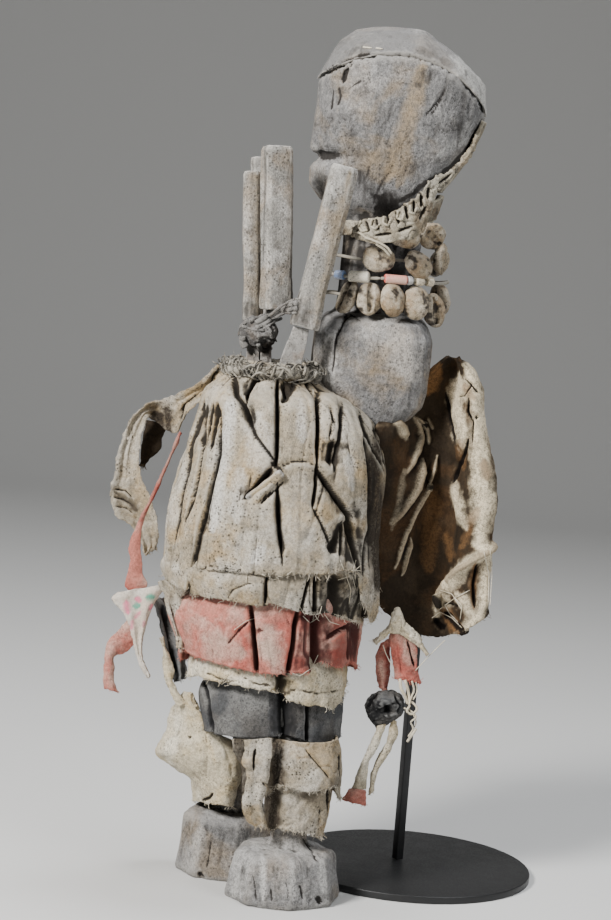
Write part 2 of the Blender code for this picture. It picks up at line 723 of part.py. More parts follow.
STRIPS = (
    ("right_arm_wrap", CANVAS, ((-58, -4, 344, 16), (-74, -12, 336, 22), (-92, -20, 320, 25),
                                (-107, -24, 297, 24), (-113, -25, 270, 22), (-110, -22, 250, 24),
                                (-101, -18, 236, 20), (-92, -16, 222, 9)), (0.1, 1, 0.1), THICK_CLOTH),
    ("right_arm_tail", BROWN_CLOTH, ((-70, -30, 316, 11), (-84, -38, 300, 14), (-92, -44, 276, 14),
                                     (-86, -46, 255, 9)), (0.2, 1, 0), CLOTH),
    ("red_ribbon", RED_CLOTH, ((-77, 6, 298, 4), (-84, 5, 268, 5), (-92, 3, 238, 8), (-99, 0, 215, 16),
                               (-98, -2, 199, 18)), (-0.2, 1, 0), CLOTH),
    ("print_scrap", PRINT_CLOTH, ((-97, 10, 196, 32), (-91, 12, 180, 20), (-85, 12, 166, 11),
                                  (-78, 10, 150, 5), (-72, 9, 142, 3)), (-0.1, 1, 0.1), CLOTH),
    ("red_tail", RED_CLOTH, ((-90, 2, 176, 17), (-102, 1, 169, 15), (-110, 0, 158, 9), (-112, 0, 144, 8),
                             (-110, 0, 131, 8)), (0.1, 1, 0.1), CLOTH),
    ("beige_tail", CANVAS, ((-78, 22, 190, 7), (-76, 24, 175, 11), (-73, 25, 160, 9), (-70, 26, 148, 4)),
     (-0.4, 1, 0), CLOTH),
    ("grey_tail", DARK_CLOTH, ((-85, -8, 188, 8), (-80, -10, 172, 11), (-73, -10, 155, 10),
                               (-66, -10, 142, 6)), (-0.4, 1, 0), CLOTH),
    ("pale_side_strip", PALE_CLOTH, ((-72, 0, 158, 5), (-71, -2, 142, 9), (-66, -5, 128, 10),
                                     (-61, -8, 117, 6)), (-0.3, 1, 0), CLOTH),
    ("hanging_strip_long", CANVAS, ((-9, 54, 102, 18), (-9, 53, 90, 16), (-15, 49, 70, 12), (-14, 47, 52, 13),
                                    (-12, 46, 41, 9)), (0, 1, 0), CLOTH),
    ("hanging_strip_short", CANVAS, ((-22, 46, 99, 9), (-21, 45, 87, 11), (-23, 44, 73, 7)), (0, 1, 0), CLOTH),
    ("tassel_red_cloth", RED_CLOTH, ((86, 0, 180, 16), (84, 3, 170, 25), (84, 3, 155, 24), (86, 1, 144, 20)),
     (0.25, 1, 0), 0.0050),
    ("tassel_side_red", RED_CLOTH, ((73, -2, 176, 8), (70.5, -1, 162, 9), (70, -2, 145, 8)),
     (-0.4, 1, 0), CLOTH),
    ("tassel_strip_near", PALE_CLOTH, ((79, 1, 122, 8), (73, 1, 106, 8), (67, 0, 90, 9), (63, -1, 79, 9)),
     (0, 1, 0), CLOTH),
    ("tassel_strip_far", PALE_CLOTH, ((87, -6, 124, 6), (83, -6, 106, 6), (76, -7, 90, 5), (72, -7, 79, 5)),
     (0, 1, 0), CLOTH),
    ("tassel_red_end", RED_CLOTH, ((62, 0, 77.6, 13), (60, 0, 71, 14)), (0, 1, 0), CLOTH),
)


def make_strips():
    for name, finish, points, facing, thickness in STRIPS:
        make_strip(name, finish, points, facing, thickness)


# The left sleeve: an open wing of stiff cloth with a rolled edge
# Outline as seen from the left: height, and how far back its outer edge reaches
SLEEVE_EDGE = ((168, 100), (180, 121), (207, 138), (245, 138), (285, 136), (325, 126), (346, 117), (363, 101))
SLEEVE_INNER = 77          # how far back the edge at the gown is
SLEEVE_TUCK = 15           # how much further back that edge runs at the very top
SLEEVE_LEFT = -3           # how far left that edge is
SLEEVE_HOLLOW = 20         # how far the middle bows to the right, and the outer edge to the left
SLEEVE_FLARE = 12
SLEEVE_LOW = 186           # the lower edge at the gown, how far it bags, and how far it climbs outwards
SLEEVE_BAG = 22
SLEEVE_CLIMB = 21
SLEEVE_HIGH = 318          # the upper edge at the gown, and the rise of its shoulder
SLEEVE_SHOULDER = 46
SLEEVE_FOLD = 2.5          # depth of the sleeve's own folds, and their number
SLEEVE_FOLDS = 5
SLEEVE_ROLL = 6.5
SLEEVE_ROWS = 9
SLEEVE_COLUMNS = 9
SLEEVE_ROLL_STEPS = 3
SLEEVE_ROLL_TURN = radians(160)


def sleeve_point(across, along):
    """across runs 0 to 1 from the gown to the roll, along 0 to 1 from the hem to the top."""
    low = SLEEVE_LOW - SLEEVE_BAG * sin(pi * across) + SLEEVE_CLIMB * across ** 2
    high = SLEEVE_HIGH + SLEEVE_SHOULDER * sin(pi * min(1.0, across * 0.86)) - 4 * across
    up = low + (high - low) * along
    edge = between(SLEEVE_EDGE, up)[0]
    inner = SLEEVE_INNER + SLEEVE_TUCK * along ** 8
    rear = inner + (edge - inner) * across
    fold = SLEEVE_FOLD * sin(pi * SLEEVE_FOLDS * across + 2 * along) * sin(pi * across)
    left = SLEEVE_LEFT - SLEEVE_HOLLOW * sin(pi * across) + SLEEVE_FLARE * across ** 2 + fold
    return rear, left, up


def make_sleeve():
    rows = []
    for j in range(SLEEVE_ROWS + 1):
        along = j / SLEEVE_ROWS
        row = []
        for i in range(SLEEVE_COLUMNS + 1):
            row.append(turned(*sleeve_point(i / SLEEVE_COLUMNS, along)))
        rear, left, up = sleeve_point(1.0, along)
        for k in range(1, SLEEVE_ROLL_STEPS + 1):
            angle = SLEEVE_ROLL_TURN * k / SLEEVE_ROLL_STEPS
            row.append(turned(rear - SLEEVE_ROLL * (1 - cos(angle)),
                              left + SLEEVE_ROLL * (angle * 0.5 + sin(angle)), up))
        rows.append(row)
    thicken(add_piece("left_sleeve", grid(rows), BROWN_CLOTH), THICK_CLOTH)


# Lumps: the resin between the knives, and the two of the tassel below the sleeve.
# Name, finish, middle (behind, left, up), reach (back, left, up), seed of its knobs, rows
RESIN_LUMP = ("resin_binding", RESIN, (-30, 9, 370), (12, 12, 11), 1.3, 7)
TASSEL_LUMPS = (
    ("tassel_cap", PALE_CLOTH, (88, 8, 189), (13, 9, 7), 0.4, 6),
    ("tassel_knot", DARK_CLOTH, (79, 1, 133), (11, 9, 8), 2.1, 6),
)
LUMP_SIDES = 12
LUMP_ROUGHNESS = 0.10


def lump(name, finish, middle, reach, seed, rows):
    """A rounded lump with a knobbly skin."""
    rings = []
    for k in range(1, rows):
        share = pi * k / rows
        ring = []
        for i in range(LUMP_SIDES):
            angle = FULL * i / LUMP_SIDES
            knobs = sin(3 * angle + seed + 2 * share) + 0.6 * sin(5 * angle - 3 * share + seed * 2)
            swell = 1 + LUMP_ROUGHNESS * knobs
            ring.append(turned(middle[0] + reach[0] * sin(share) * cos(angle) * swell,
                               middle[1] + reach[1] * sin(share) * sin(angle) * swell,
                               middle[2] - reach[2] * cos(share)))
        rings.append(ring)
    return add_piece(name, loft(rings), finish, 60)


# Knives: foot and top of the handle (behind, left, up), width, thickness, roundness, tang
HANDLES = (
    ((-30.5, 5, 377), (-38, 2, 474), 13.5, 12, 2.0),
    ((-15.5, 18, 386), (-23, 18, 491), 19, 16, 6.0),
    ((3.5, 30, 376), (22, 30, 481), 18, 15, 3.5),
    ((-24, -9, 386), (-36, -12, 484), 10, 9, 2.5),
)
HANDLE_FLARE = 0.06        # at the foot, where a handle is bound
HANDLE_SPIN = radians(8)
BROAD_HANDLE_SPIN = radians(24)
# Sections of a handle: share of its length, scale, share of the flare
HANDLE_ROWS = ((0.0, 0.94, 1), (0.02, 1.0, 1), (0.14, 1.0, 0.6), (0.2, 0.96, 0), (0.6, 1.0, 0),
               (0.975, 1.0, 0), (1.0, 0.86, 0))
TANG_DEEP = 344
TANG_THICKNESS = 0.0026
TANG_WIDTH = 0.72          # of its handle's width
TANG_ROWS = ((0.0, 0.95), (0.6, 0.8), (1.0, 0.62))
TANG_INTO_HANDLE = 0.004   # how far the room for a tang reaches past the handle's foot
# A short peg of split wood in the gown's seam: foot, top, width and thickness
SEAM_PEG = ((-32, 68, 263), (-12, 75, 282), 9, 5)


def cross_axes(foot, top, spin=0.0):
    """The two ways across a stick, its width first."""
    axis = (top - foot).normalized()
    side = turned(1, 0, 0).normalized()
    side = Matrix.Rotation(spin, 3, axis) @ (side - axis * side.dot(axis)).normalized()
    return side, axis.cross(side)


def bar(foot, top, width, thickness, power, flare=0.0, spin=0.0):
    """A whittled bar from foot to top with its arrises rounded, and a flare at its foot."""
    side, flat = cross_axes(foot, top, spin)
    rings = []
    for share, size, flared in HANDLE_ROWS:
        scale = size + flare * flared
        spot = foot.lerp(top, share)
        ring = []
        for i in range(HANDLE_FACETS):
            angle = FULL * (i + 0.5) / HANDLE_FACETS
            c, s = cos(angle), sin(angle)
            a = copysign(abs(c) ** (2 / power), c) * width / 2 * scale
            b = copysign(abs(s) ** (2 / power), s) * thickness / 2 * scale
            ring.append(spot + (side * a + flat * b) * PART)
        rings.append(ring)
    return loft(rings)


def handle_spin(number):
    return BROAD_HANDLE_SPIN if number == 2 else HANDLE_SPIN


def make_knives(gown):
    slots = []
    for number, (foot, top, width, thickness, power) in enumerate(HANDLES, 1):
        low, high = turned(*foot), turned(*top)
        shape = bar(low, high, width, thickness, power, HANDLE_FLARE, handle_spin(number))
        add_piece(f"knife_handle_{number}", shape, CHALKY_WOOD, 30)
        axis = (high - low).normalized()
        deep = low + axis * ((TANG_DEEP * PART - low.z) / axis.z)
        gap = axis * CLEARANCE * 1.2
        add_piece(f"knife_tang_{number}", tang(deep, low - gap, width), IRON, 30)
        slot = as_tool(add_piece(f"slot_{number}", tang(deep - gap, low - gap, width, CLEARANCE), IRON))
        combine(gown, slot)
        slots.append(slot)
    return slots


def tang(deep, top, width, grow=0.0):
    """The flat blade root that runs down from a handle."""
    side, flat = cross_axes(deep, top)
    rings = []
    for share, scale in TANG_ROWS:
        spot = deep.lerp(top, share)
        half = side * (width * TANG_WIDTH / 2 * scale * PART + grow)
        skin = flat * (TANG_THICKNESS / 2 + grow)
        rings.append([spot - half - skin, spot + half - skin, spot + half + skin, spot - half + skin])
    return loft(rings)


def make_binding():
    """Resin and fibre packed between the first two knives, above the cord."""
    mass = lump(*RESIN_LUMP)
    for number in (1, 2, 4):
        foot, top, width, thickness, power = HANDLES[number - 1]
        low, high = turned(*foot), turned(*top)
        axis = (high - low).normalized()
        deep = low + axis * ((TANG_DEEP * PART - low.z) / axis.z)
        shape = tang(deep, low + axis * TANG_INTO_HANDLE, width, CLEARANCE)
        combine(mass, as_tool(add_piece(f"tang_room_{number}", shape, IRON)))
        more = 3 * CLEARANCE / PART
        shape = bar(low - axis * CLEARANCE, high, width + more, thickness + more, power, HANDLE_FLARE,
                    handle_spin(number))
        combine(mass, as_tool(add_piece(f"grip_room_{number}", shape, IRON)))


def make_tie(room, slots):
    """The tangle of cord that gathers the gown's neck."""
    rows = []
    for i in range(TIE_STEPS):
        angle = FULL * i / TIE_STEPS
        fat = TIE_FAT + waves(angle, TIE_WAVES)
        spot = around(TIE_MIDDLE, (TIE_SIDE, TIE_DEPTH, TIE_DEPTH), angle)
        middle = Vector((*spot, TIE_UP + sin(4 * angle)))
        out = (middle - Vector((*TIE_MIDDLE, TIE_UP))).normalized()
        turns = [FULL * j / TIE_SIDES for j in range(TIE_SIDES)]
        rows.append([(middle + (out * cos(turn) + Vector((0, 0, sin(turn)))) * fat) * PART for turn in turns])
    tie = add_piece("tie_cord", grid_ring(rows), STRING)
    for cutter in (room, *slots):
        combine(tie, cutter)


def make_seam_peg():
    foot, top, width, thickness = SEAM_PEG
    add_piece("seam_peg", bar(turned(*foot), turned(*top), width, thickness, 4.0), CHALKY_WOOD, 30)


def make_stand(room):
    x, y = DISC_PLACE
    shape = bmesh.new()
    bmesh.ops.create_cone(shape, cap_ends=True, segments=48, radius1=DISC_RADIUS, radius2=DISC_RADIUS,
                          depth=DISC_THICKNESS, matrix=Matrix.Translation((x, y, DISC_THICKNESS / 2)))
    add_piece("stand_disc", shape, STEEL)
    foot = DISC_THICKNESS + CLEARANCE
    shape = bmesh.new()
    tall = ROD_HEIGHT - foot
    bmesh.ops.create_cube(shape, size=1.0, matrix=Matrix.Translation((*ROD_PLACE, foot + tall / 2))
                          @ Matrix.Diagonal((ROD_WIDTH, ROD_WIDTH, tall, 1)))
    rod = add_piece("stand_rod", shape, STEEL)
    reach = ROD_PLACE[1] - TRUNK[-3][2] * PART
    arm_place = Matrix.Translation((ROD_PLACE[0], ROD_PLACE[1] - reach / 2, ROD_HEIGHT - ROD_WIDTH / 2))
    shape = bmesh.new()
    size = Matrix.Diagonal((ROD_WIDTH, reach, ROD_WIDTH, 1))
    bmesh.ops.create_cube(shape, size=1.0, matrix=arm_place @ size)
    arm = as_tool(add_piece("arm_form", shape, STEEL))
    combine(rod, arm, "UNION")
    combine(rod, room)


def centre_frame():
    """Moves the whole piece so that the origin is at the bottom centre of its box."""
    bpy.context.view_layer.update()
    graph = bpy.context.evaluated_depsgraph_get()
    corners = []
    for thing in bpy.context.collection.objects:
        if not thing.hide_render:
            shown = thing.evaluated_get(graph)
            corners += [shown.matrix_world @ Vector(corner) for corner in shown.bound_box]
    middle = [(min(c[k] for c in corners) + max(c[k] for c in corners)) / 2 for k in (0, 1)]
    base = bpy.data.objects.new("figure_frame", None)
    things = list(bpy.context.collection.objects)
    bpy.context.collection.objects.link(base)
    for thing in things:
        thing.parent = base
    base.location = (-middle[0], -middle[1], 0)
    bpy.context.view_layer.update()


def main():
    clear_scene()
    make_body()
    make_cap()
    make_collar()
    make_strap()
    make_necklace()
    gown, room = make_gown()
    slots = make_knives(gown)
    make_binding()
    make_tie(room, slots)
    make_seam_peg()
    for skirt in SKIRTS:
        make_skirt(*skirt)
    make_leg_cloths()
    make_strips()
    make_sleeve()
    for mark in TASSEL_LUMPS:
        lump(*mark)
    make_stand(room)
    centre_frame()


main()
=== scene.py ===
from math import atan, cos, pi, radians, sin

import bmesh
import bpy
import numpy as np
from mathutils import Matrix, Vector
from mathutils.bvhtree import BVHTree


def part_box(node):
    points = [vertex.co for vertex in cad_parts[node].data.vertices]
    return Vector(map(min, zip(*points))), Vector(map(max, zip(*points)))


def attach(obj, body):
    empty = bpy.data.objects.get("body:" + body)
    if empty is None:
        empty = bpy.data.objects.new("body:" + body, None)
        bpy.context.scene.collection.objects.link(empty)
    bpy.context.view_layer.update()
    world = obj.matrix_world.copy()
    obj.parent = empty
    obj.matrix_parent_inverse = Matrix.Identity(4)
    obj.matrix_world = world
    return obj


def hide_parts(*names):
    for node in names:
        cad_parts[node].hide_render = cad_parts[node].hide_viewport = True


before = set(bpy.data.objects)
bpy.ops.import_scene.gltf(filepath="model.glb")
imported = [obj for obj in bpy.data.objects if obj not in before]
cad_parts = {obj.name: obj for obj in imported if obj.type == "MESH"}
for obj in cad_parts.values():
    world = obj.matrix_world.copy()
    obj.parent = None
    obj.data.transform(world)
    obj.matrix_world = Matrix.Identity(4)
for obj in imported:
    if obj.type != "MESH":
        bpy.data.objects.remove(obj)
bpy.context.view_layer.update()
bpy.ops.object.select_all(action="DESELECT")
mm = 0.001

# The photograph's camera, told from the middle of the feet, and the turn of the figure's dress
photo = {"azimuth": 57.0, "pitch": 5.4, "roll": 4.5, "focal": 2300.0, "size": (611, 920),
         "groundAt": (255.5, 882.0), "distance": 1.55, "lens": 90.0}
dress = {"turn": radians(33), "discFromFeet": (0.003, 0.1225)}
discLow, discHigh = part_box("stand_disc")
feet = Vector(((discLow.x + discHigh.x) / 2 - dress["discFromFeet"][0],
               (discLow.y + discHigh.y) / 2 - dress["discFromFeet"][1], 0))
feetAt = np.array(feet)
sideWay = np.array((cos(dress["turn"]), -sin(dress["turn"]), 0))      # towards the camera
backWay = np.array((sin(dress["turn"]), cos(dress["turn"]), 0))       # to the right in the photograph
upWay = np.array((0, 0, 1.0))


# Camera, light and floor
def photoAxes():
    a, p, r = (radians(photo[k]) for k in ("azimuth", "pitch", "roll"))
    level = Vector((cos(a), sin(a), 0))
    ahead = Vector((-sin(a) * cos(p), cos(a) * cos(p), -sin(p)))
    up = (-ahead).cross(level)
    return level * cos(r) + up * sin(r), up * cos(r) - level * sin(r), ahead


cameraRight, cameraUp, cameraAhead = photoAxes()


def sightRay(u, v):
    w, h = photo["size"]
    return (cameraRight * (u - w / 2) + cameraUp * (h / 2 - v)) / photo["focal"] + cameraAhead


cameraPlace = feet - sightRay(*photo["groundAt"]) * photo["distance"]
eyeAt, eyeAhead = np.array(cameraPlace), np.array(cameraAhead)
eyeRight, eyeUp = np.array(cameraRight), np.array(cameraUp)


def makeCamera():
    data = bpy.data.cameras.new("camera")
    data.sensor_fit = "VERTICAL"
    data.lens = photo["lens"]
    data.sensor_height = photo["size"][1] / photo["focal"] * photo["lens"]
    data.clip_end = 20
    thing = bpy.data.objects.new("camera", data)
    bpy.context.collection.objects.link(thing)
    turn = Matrix((cameraRight, cameraUp, -cameraAhead)).transposed().to_4x4()
    thing.matrix_world = Matrix.Translation(cameraPlace) @ turn
    bpy.context.scene.camera = thing


# Each light: its way from the object as the camera sees it (right, up, towards the camera), its distance,
# size, power and colour
lights = {
    "keyLight": ((-0.80, 0.70, 1.0), 1.5, 0.40, 50, (1.0, 0.98, 0.95)),
    "topLight": ((0.5, 1.5, -0.1), 1.6, 0.7, 22, (0.95, 0.97, 1.0)),
    "fillLight": ((1.0, 0.65, 0.8), 1.8, 0.8, 14, (0.95, 0.97, 1.0)),
}
lightsAim = 0.3                     # height of what they point at
room = {"colour": (0.62, 0.62, 0.61), "glow": 0.14, "rough": 0.9, "width": 9.0, "near": 4.0, "reach": 2.2,
        "bend": 1.4, "top": 4.5, "steps": 24}


def makeLights():
    middle = feet + Vector((0, 0, lightsAim))
    for name, (way, distance, size, power, colour) in lights.items():
        data = bpy.data.lights.new(name, "AREA")
        data.shape = "DISK"
        data.size = size
        data.energy = power
        data.color = colour
        thing = bpy.data.objects.new(name, data)
        bpy.context.collection.objects.link(thing)
        out = (cameraRight * way[0] + cameraUp * way[1] - cameraAhead * way[2]).normalized()
        thing.location = middle + out * distance
        thing.rotation_euler = out.to_track_quat("Z", "Y").to_euler()
    world = bpy.data.worlds.new("studio")
    bpy.context.scene.world = world
    world.use_nodes = True
    glow = world.node_tree.nodes["Background"]
    glow.inputs["Color"].default_value = (*room["colour"], 1)
    glow.inputs["Strength"].default_value = room["glow"]


def makeFloor():
    # A pale sheet that lies flat under the object and sweeps up far behind it
    away = np.array((-sin(radians(photo["azimuth"])), cos(radians(photo["azimuth"])), 0))
    across = np.array((away[1], -away[0], 0))
    turns = np.linspace(0, pi / 2, room["steps"])
    profile = [(-room["near"], 0.0), (0.0, 0.0)]
    profile += [(room["reach"] + room["bend"] * sin(t), room["bend"] * (1 - cos(t))) for t in turns]
    profile.append((room["reach"] + room["bend"], room["top"]))
    places = np.array([[feetAt * (1, 1, 0) + across * side + away * out + upWay * high
                        for side in (-room["width"] / 2, room["width"] / 2)] for out, high in profile])
    floor = gridThing("studioFloor", places)
    floor.data.shade_smooth()
    paint = bpy.data.materials.new("floorPaint")
    paint.use_nodes = True
    shader = paint.node_tree.nodes["Principled BSDF"]
    shader.inputs["Base Color"].default_value = (*room["colour"], 1)
    shader.inputs["Roughness"].default_value = room["rough"]
    floor.data.materials.append(paint)


# Shader nodes: add() makes one, and a value that is a socket is linked
def add(tree, kind, values=None, **options):
    node = tree.nodes.new("ShaderNode" + kind)
    for name, value in options.items():
        setattr(node, name, value)
    for name, value in (values or {}).items():
        if isinstance(value, bpy.types.NodeSocket):
            tree.links.new(value, node.inputs[name])
        else:
            node.inputs[name].default_value = value
    return node


def newGroup(name, inputs, outputs):
    tree = bpy.data.node_groups.new(name, "ShaderNodeTree")
    kinds = {"value": "NodeSocketFloat", "colour": "NodeSocketColor", "vector": "NodeSocketVector"}
    for label, kind, value in inputs:
        port = tree.interface.new_socket(label, in_out="INPUT", socket_type=kinds[kind])
        if value is not None:
            port.default_value = value
    for label, kind in outputs:
        tree.interface.new_socket(label, in_out="OUTPUT", socket_type=kinds[kind])
    return tree, tree.nodes.new("NodeGroupInput").outputs, tree.nodes.new("NodeGroupOutput").inputs


def blended(tree, share, low, high, way="MIX"):
    # Inputs 0, 6 and 7 and output 2 are a Mix node's sockets when it mixes colours
    return add(tree, "Mix", {0: share, 6: low, 7: high}, data_type="RGBA", blend_type=way).outputs[2]


def shaded(tree, colour, light):
    # A colour made lighter or darker by a value
    grey = add(tree, "CombineXYZ", {0: light, 1: light, 2: light}).outputs[0]
    return blended(tree, 1.0, colour, grey, "MULTIPLY")


def ranged(tree, value, low, high, toLow=0.0, toHigh=1.0):
    return add(tree, "MapRange", {"Value": value, "From Min": low, "From Max": high, "To Min": toLow,
                                  "To Max": toHigh}, interpolation_type="SMOOTHSTEP").outputs[0]


def sums(tree, way, a, b):
    return add(tree, "Math", {0: a, 1: b}, operation=way).outputs[0]


def times(tree, a, b):
    return sums(tree, "MULTIPLY", a, b)


def attribute(tree, name):
    return add(tree, "Attribute", attribute_name=name).outputs["Fac"]


def noise(tree, vector, scale, detail=6.0, rough=0.6, bend=0.0):
    return add(tree, "TexNoise", {"Vector": vector, "Scale": scale, "Detail": detail, "Roughness": rough,
                                  "Distortion": bend}).outputs["Fac"]


def makeStains():
    # Clouds of pale crust, of tint and of grime over a base colour, and fine specks
    tree, come, out = newGroup("stains", [
        ("Vector", "vector", None), ("Base", "colour", (0.3, 0.3, 0.3, 1)),
        ("Pale", "colour", (0.5, 0.5, 0.5, 1)), ("Tint", "colour", (0.3, 0.2, 0.1, 1)),
        ("Grime", "colour", (0.1, 0.1, 0.1, 1)), ("Scale", "value", 20.0), ("Pale Share", "value", 0.5),
        ("Tint Share", "value", 0.5), ("Grime Share", "value", 0.5), ("Specks", "value", 0.3)],
        [("Color", "colour"), ("Height", "value")])
    wide = noise(tree, come["Vector"], come["Scale"], 5, 0.6, 0.4)
    shift = add(tree, "VectorMath", {0: come["Vector"], 1: (3.1, 7.7, 1.3)}, operation="ADD").outputs[0]
    tintCloud = noise(tree, shift, come["Scale"], 4, 0.55, 0.6)
    grimeCloud = noise(tree, shift, times(tree, come["Scale"], 3.3), 7, 0.68, 0.2)
    specks = noise(tree, come["Vector"], times(tree, come["Scale"], 20.0), 4, 0.75)
    grit = noise(tree, shift, times(tree, come["Scale"], 55.0), 2, 0.7)
    specks = times(tree, ranged(tree, specks, 0.32, 0.68), 0.6)
    specks = sums(tree, "ADD", specks, times(tree, ranged(tree, grit, 0.35, 0.65), 0.4))
    pale = times(tree, ranged(tree, wide, 0.44, 0.62), come["Pale Share"])
    tint = times(tree, ranged(tree, tintCloud, 0.46, 0.60), come["Tint Share"])
    grime = times(tree, ranged(tree, grimeCloud, 0.50, 0.68), come["Grime Share"])
    colour = blended(tree, tint, come["Base"], come["Tint"])
    colour = blended(tree, pale, colour, come["Pale"])
    colour = blended(tree, grime, colour, come["Grime"])
    light = sums(tree, "ADD", times(tree, sums(tree, "SUBTRACT", specks, 0.5), come["Specks"]), 1.0)
    tree.links.new(shaded(tree, colour, light), out["Color"])
    tree.links.new(sums(tree, "ADD", specks, grimeCloud), out["Height"])
    return tree


def makeHollowShadeAndSoil():
    # Grime and painted shade in what lies deep, and wear on what stands proud, from the piece's own "hollow"
    # attribute
    tree, come, out = newGroup("hollowShadeAndSoil", [
        ("Color", "colour", None), ("Hollow", "value", 0.5), ("Soil And Shade", "colour", (0.05, 0.04, 0.03, 1)),
        ("Worn", "colour", (0.5, 0.5, 0.5, 1)), ("Soil And Shade Share", "value", 0.8), ("Worn Share", "value", 0.4)],
        [("Color", "colour")])
    deep = times(tree, ranged(tree, come["Hollow"], 0.56, 0.95), come["Soil And Shade Share"])
    proud = times(tree, ranged(tree, come["Hollow"], 0.44, 0.12), come["Worn Share"])
    colour = blended(tree, proud, come["Color"], come["Worn"])
    tree.links.new(blended(tree, deep, colour, come["Soil And Shade"]), out["Color"])
    return tree


def makeDust():
    # Pale dust where the surface looks up, broken by a cloud
    tree, come, out = newGroup("settledDust", [
        ("Vector", "vector", None), ("Color", "colour", None), ("Dust", "colour", (0.5, 0.48, 0.44, 1)),
        ("Share", "value", 0.5), ("Scale", "value", 60.0)], [("Color", "colour")])
    facing = add(tree, "SeparateXYZ", {0: add(tree, "NewGeometry").outputs["Normal"]}).outputs["Z"]
    patches = noise(tree, come["Vector"], come["Scale"], 6, 0.7)
    mask = times(tree, ranged(tree, sums(tree, "ADD", facing, patches), 0.35, 1.4), come["Share"])
    tree.links.new(blended(tree, mask, come["Color"], come["Dust"]), out["Color"])
    return tree


def makeWeave():
    # Over-and-under threads along the piece's "threads" map, which is in metres
    tree, come, out = newGroup("weave", [("Vector", "vector", None), ("Pitch", "value", 0.0009),
                                         ("Wander", "value", 0.3)], [("Height", "value")])
    wave = sums(tree, "DIVIDE", 2 * pi, come["Pitch"])
    scaled = add(tree, "VectorMath", {0: come["Vector"], "Scale": wave}, operation="SCALE").outputs[0]
    bent = add(tree, "TexNoise", {"Vector": come["Vector"], "Scale": 260.0, "Detail": 3.0}).outputs["Color"]
    bent = add(tree, "VectorMath", {0: bent, "Scale": times(tree, come["Wander"], 9.0)}, operation="SCALE")
    both = add(tree, "VectorMath", {0: scaled, 1: bent.outputs[0]}, operation="ADD").outputs[0]
    both = add(tree, "SeparateXYZ", {0: both})
    warp, weft = (sums(tree, "SINE", both.outputs[k], 0.0) for k in (0, 1))
    tree.links.new(times(tree, warp, weft), out["Height"])
    return tree


def makeGrain():
    # Fibres drawn out along the stick or the log, with fine splits between them
    tree, come, out = newGroup("fibres", [("Vector", "vector", None), ("Scale", "value", 300.0),
                                          ("Stretch", "vector", (1, 1, 0.06))],
                               [("Height", "value"), ("Splits", "value")])
    drawn = add(tree, "VectorMath", {0: come["Vector"], 1: come["Stretch"]}, operation="MULTIPLY").outputs[0]
    fibre = noise(tree, drawn, come["Scale"], 5, 0.65, 0.3)
    coarse = noise(tree, drawn, times(tree, come["Scale"], 0.25), 4, 0.6, 0.5)
    splits = ranged(tree, coarse, 0.60, 0.68)
    tree.links.new(sums(tree, "SUBTRACT", fibre, times(tree, splits, 0.6)), out["Height"])
    tree.links.new(splits, out["Splits"])
    return tree


def makePits():
    # Small scattered holes and grains
    tree, come, out = newGroup("pits", [("Vector", "vector", None), ("Scale", "value", 400.0),
                                        ("Share", "value", 0.3)], [("Mask", "value")])
    spots = add(tree, "TexVoronoi", {"Vector": come["Vector"], "Scale": come["Scale"], "Randomness": 1.0})
    patches = noise(tree, come["Vector"], times(tree, come["Scale"], 0.12), 3, 0.6)
    hole = times(tree, ranged(tree, spots.outputs["Distance"], 0.34, 0.20), ranged(tree, patches, 0.40, 0.60))
    tree.links.new(times(tree, hole, come["Share"]), out["Mask"])
    return tree


groups = {"stains": makeStains(), "hollow": makeHollowShadeAndSoil(), "dust": makeDust(), "weave": makeWeave(),
          "fibres": makeGrain(), "pits": makePits()}


def rgb(*colour):
    return (*colour, 1.0)
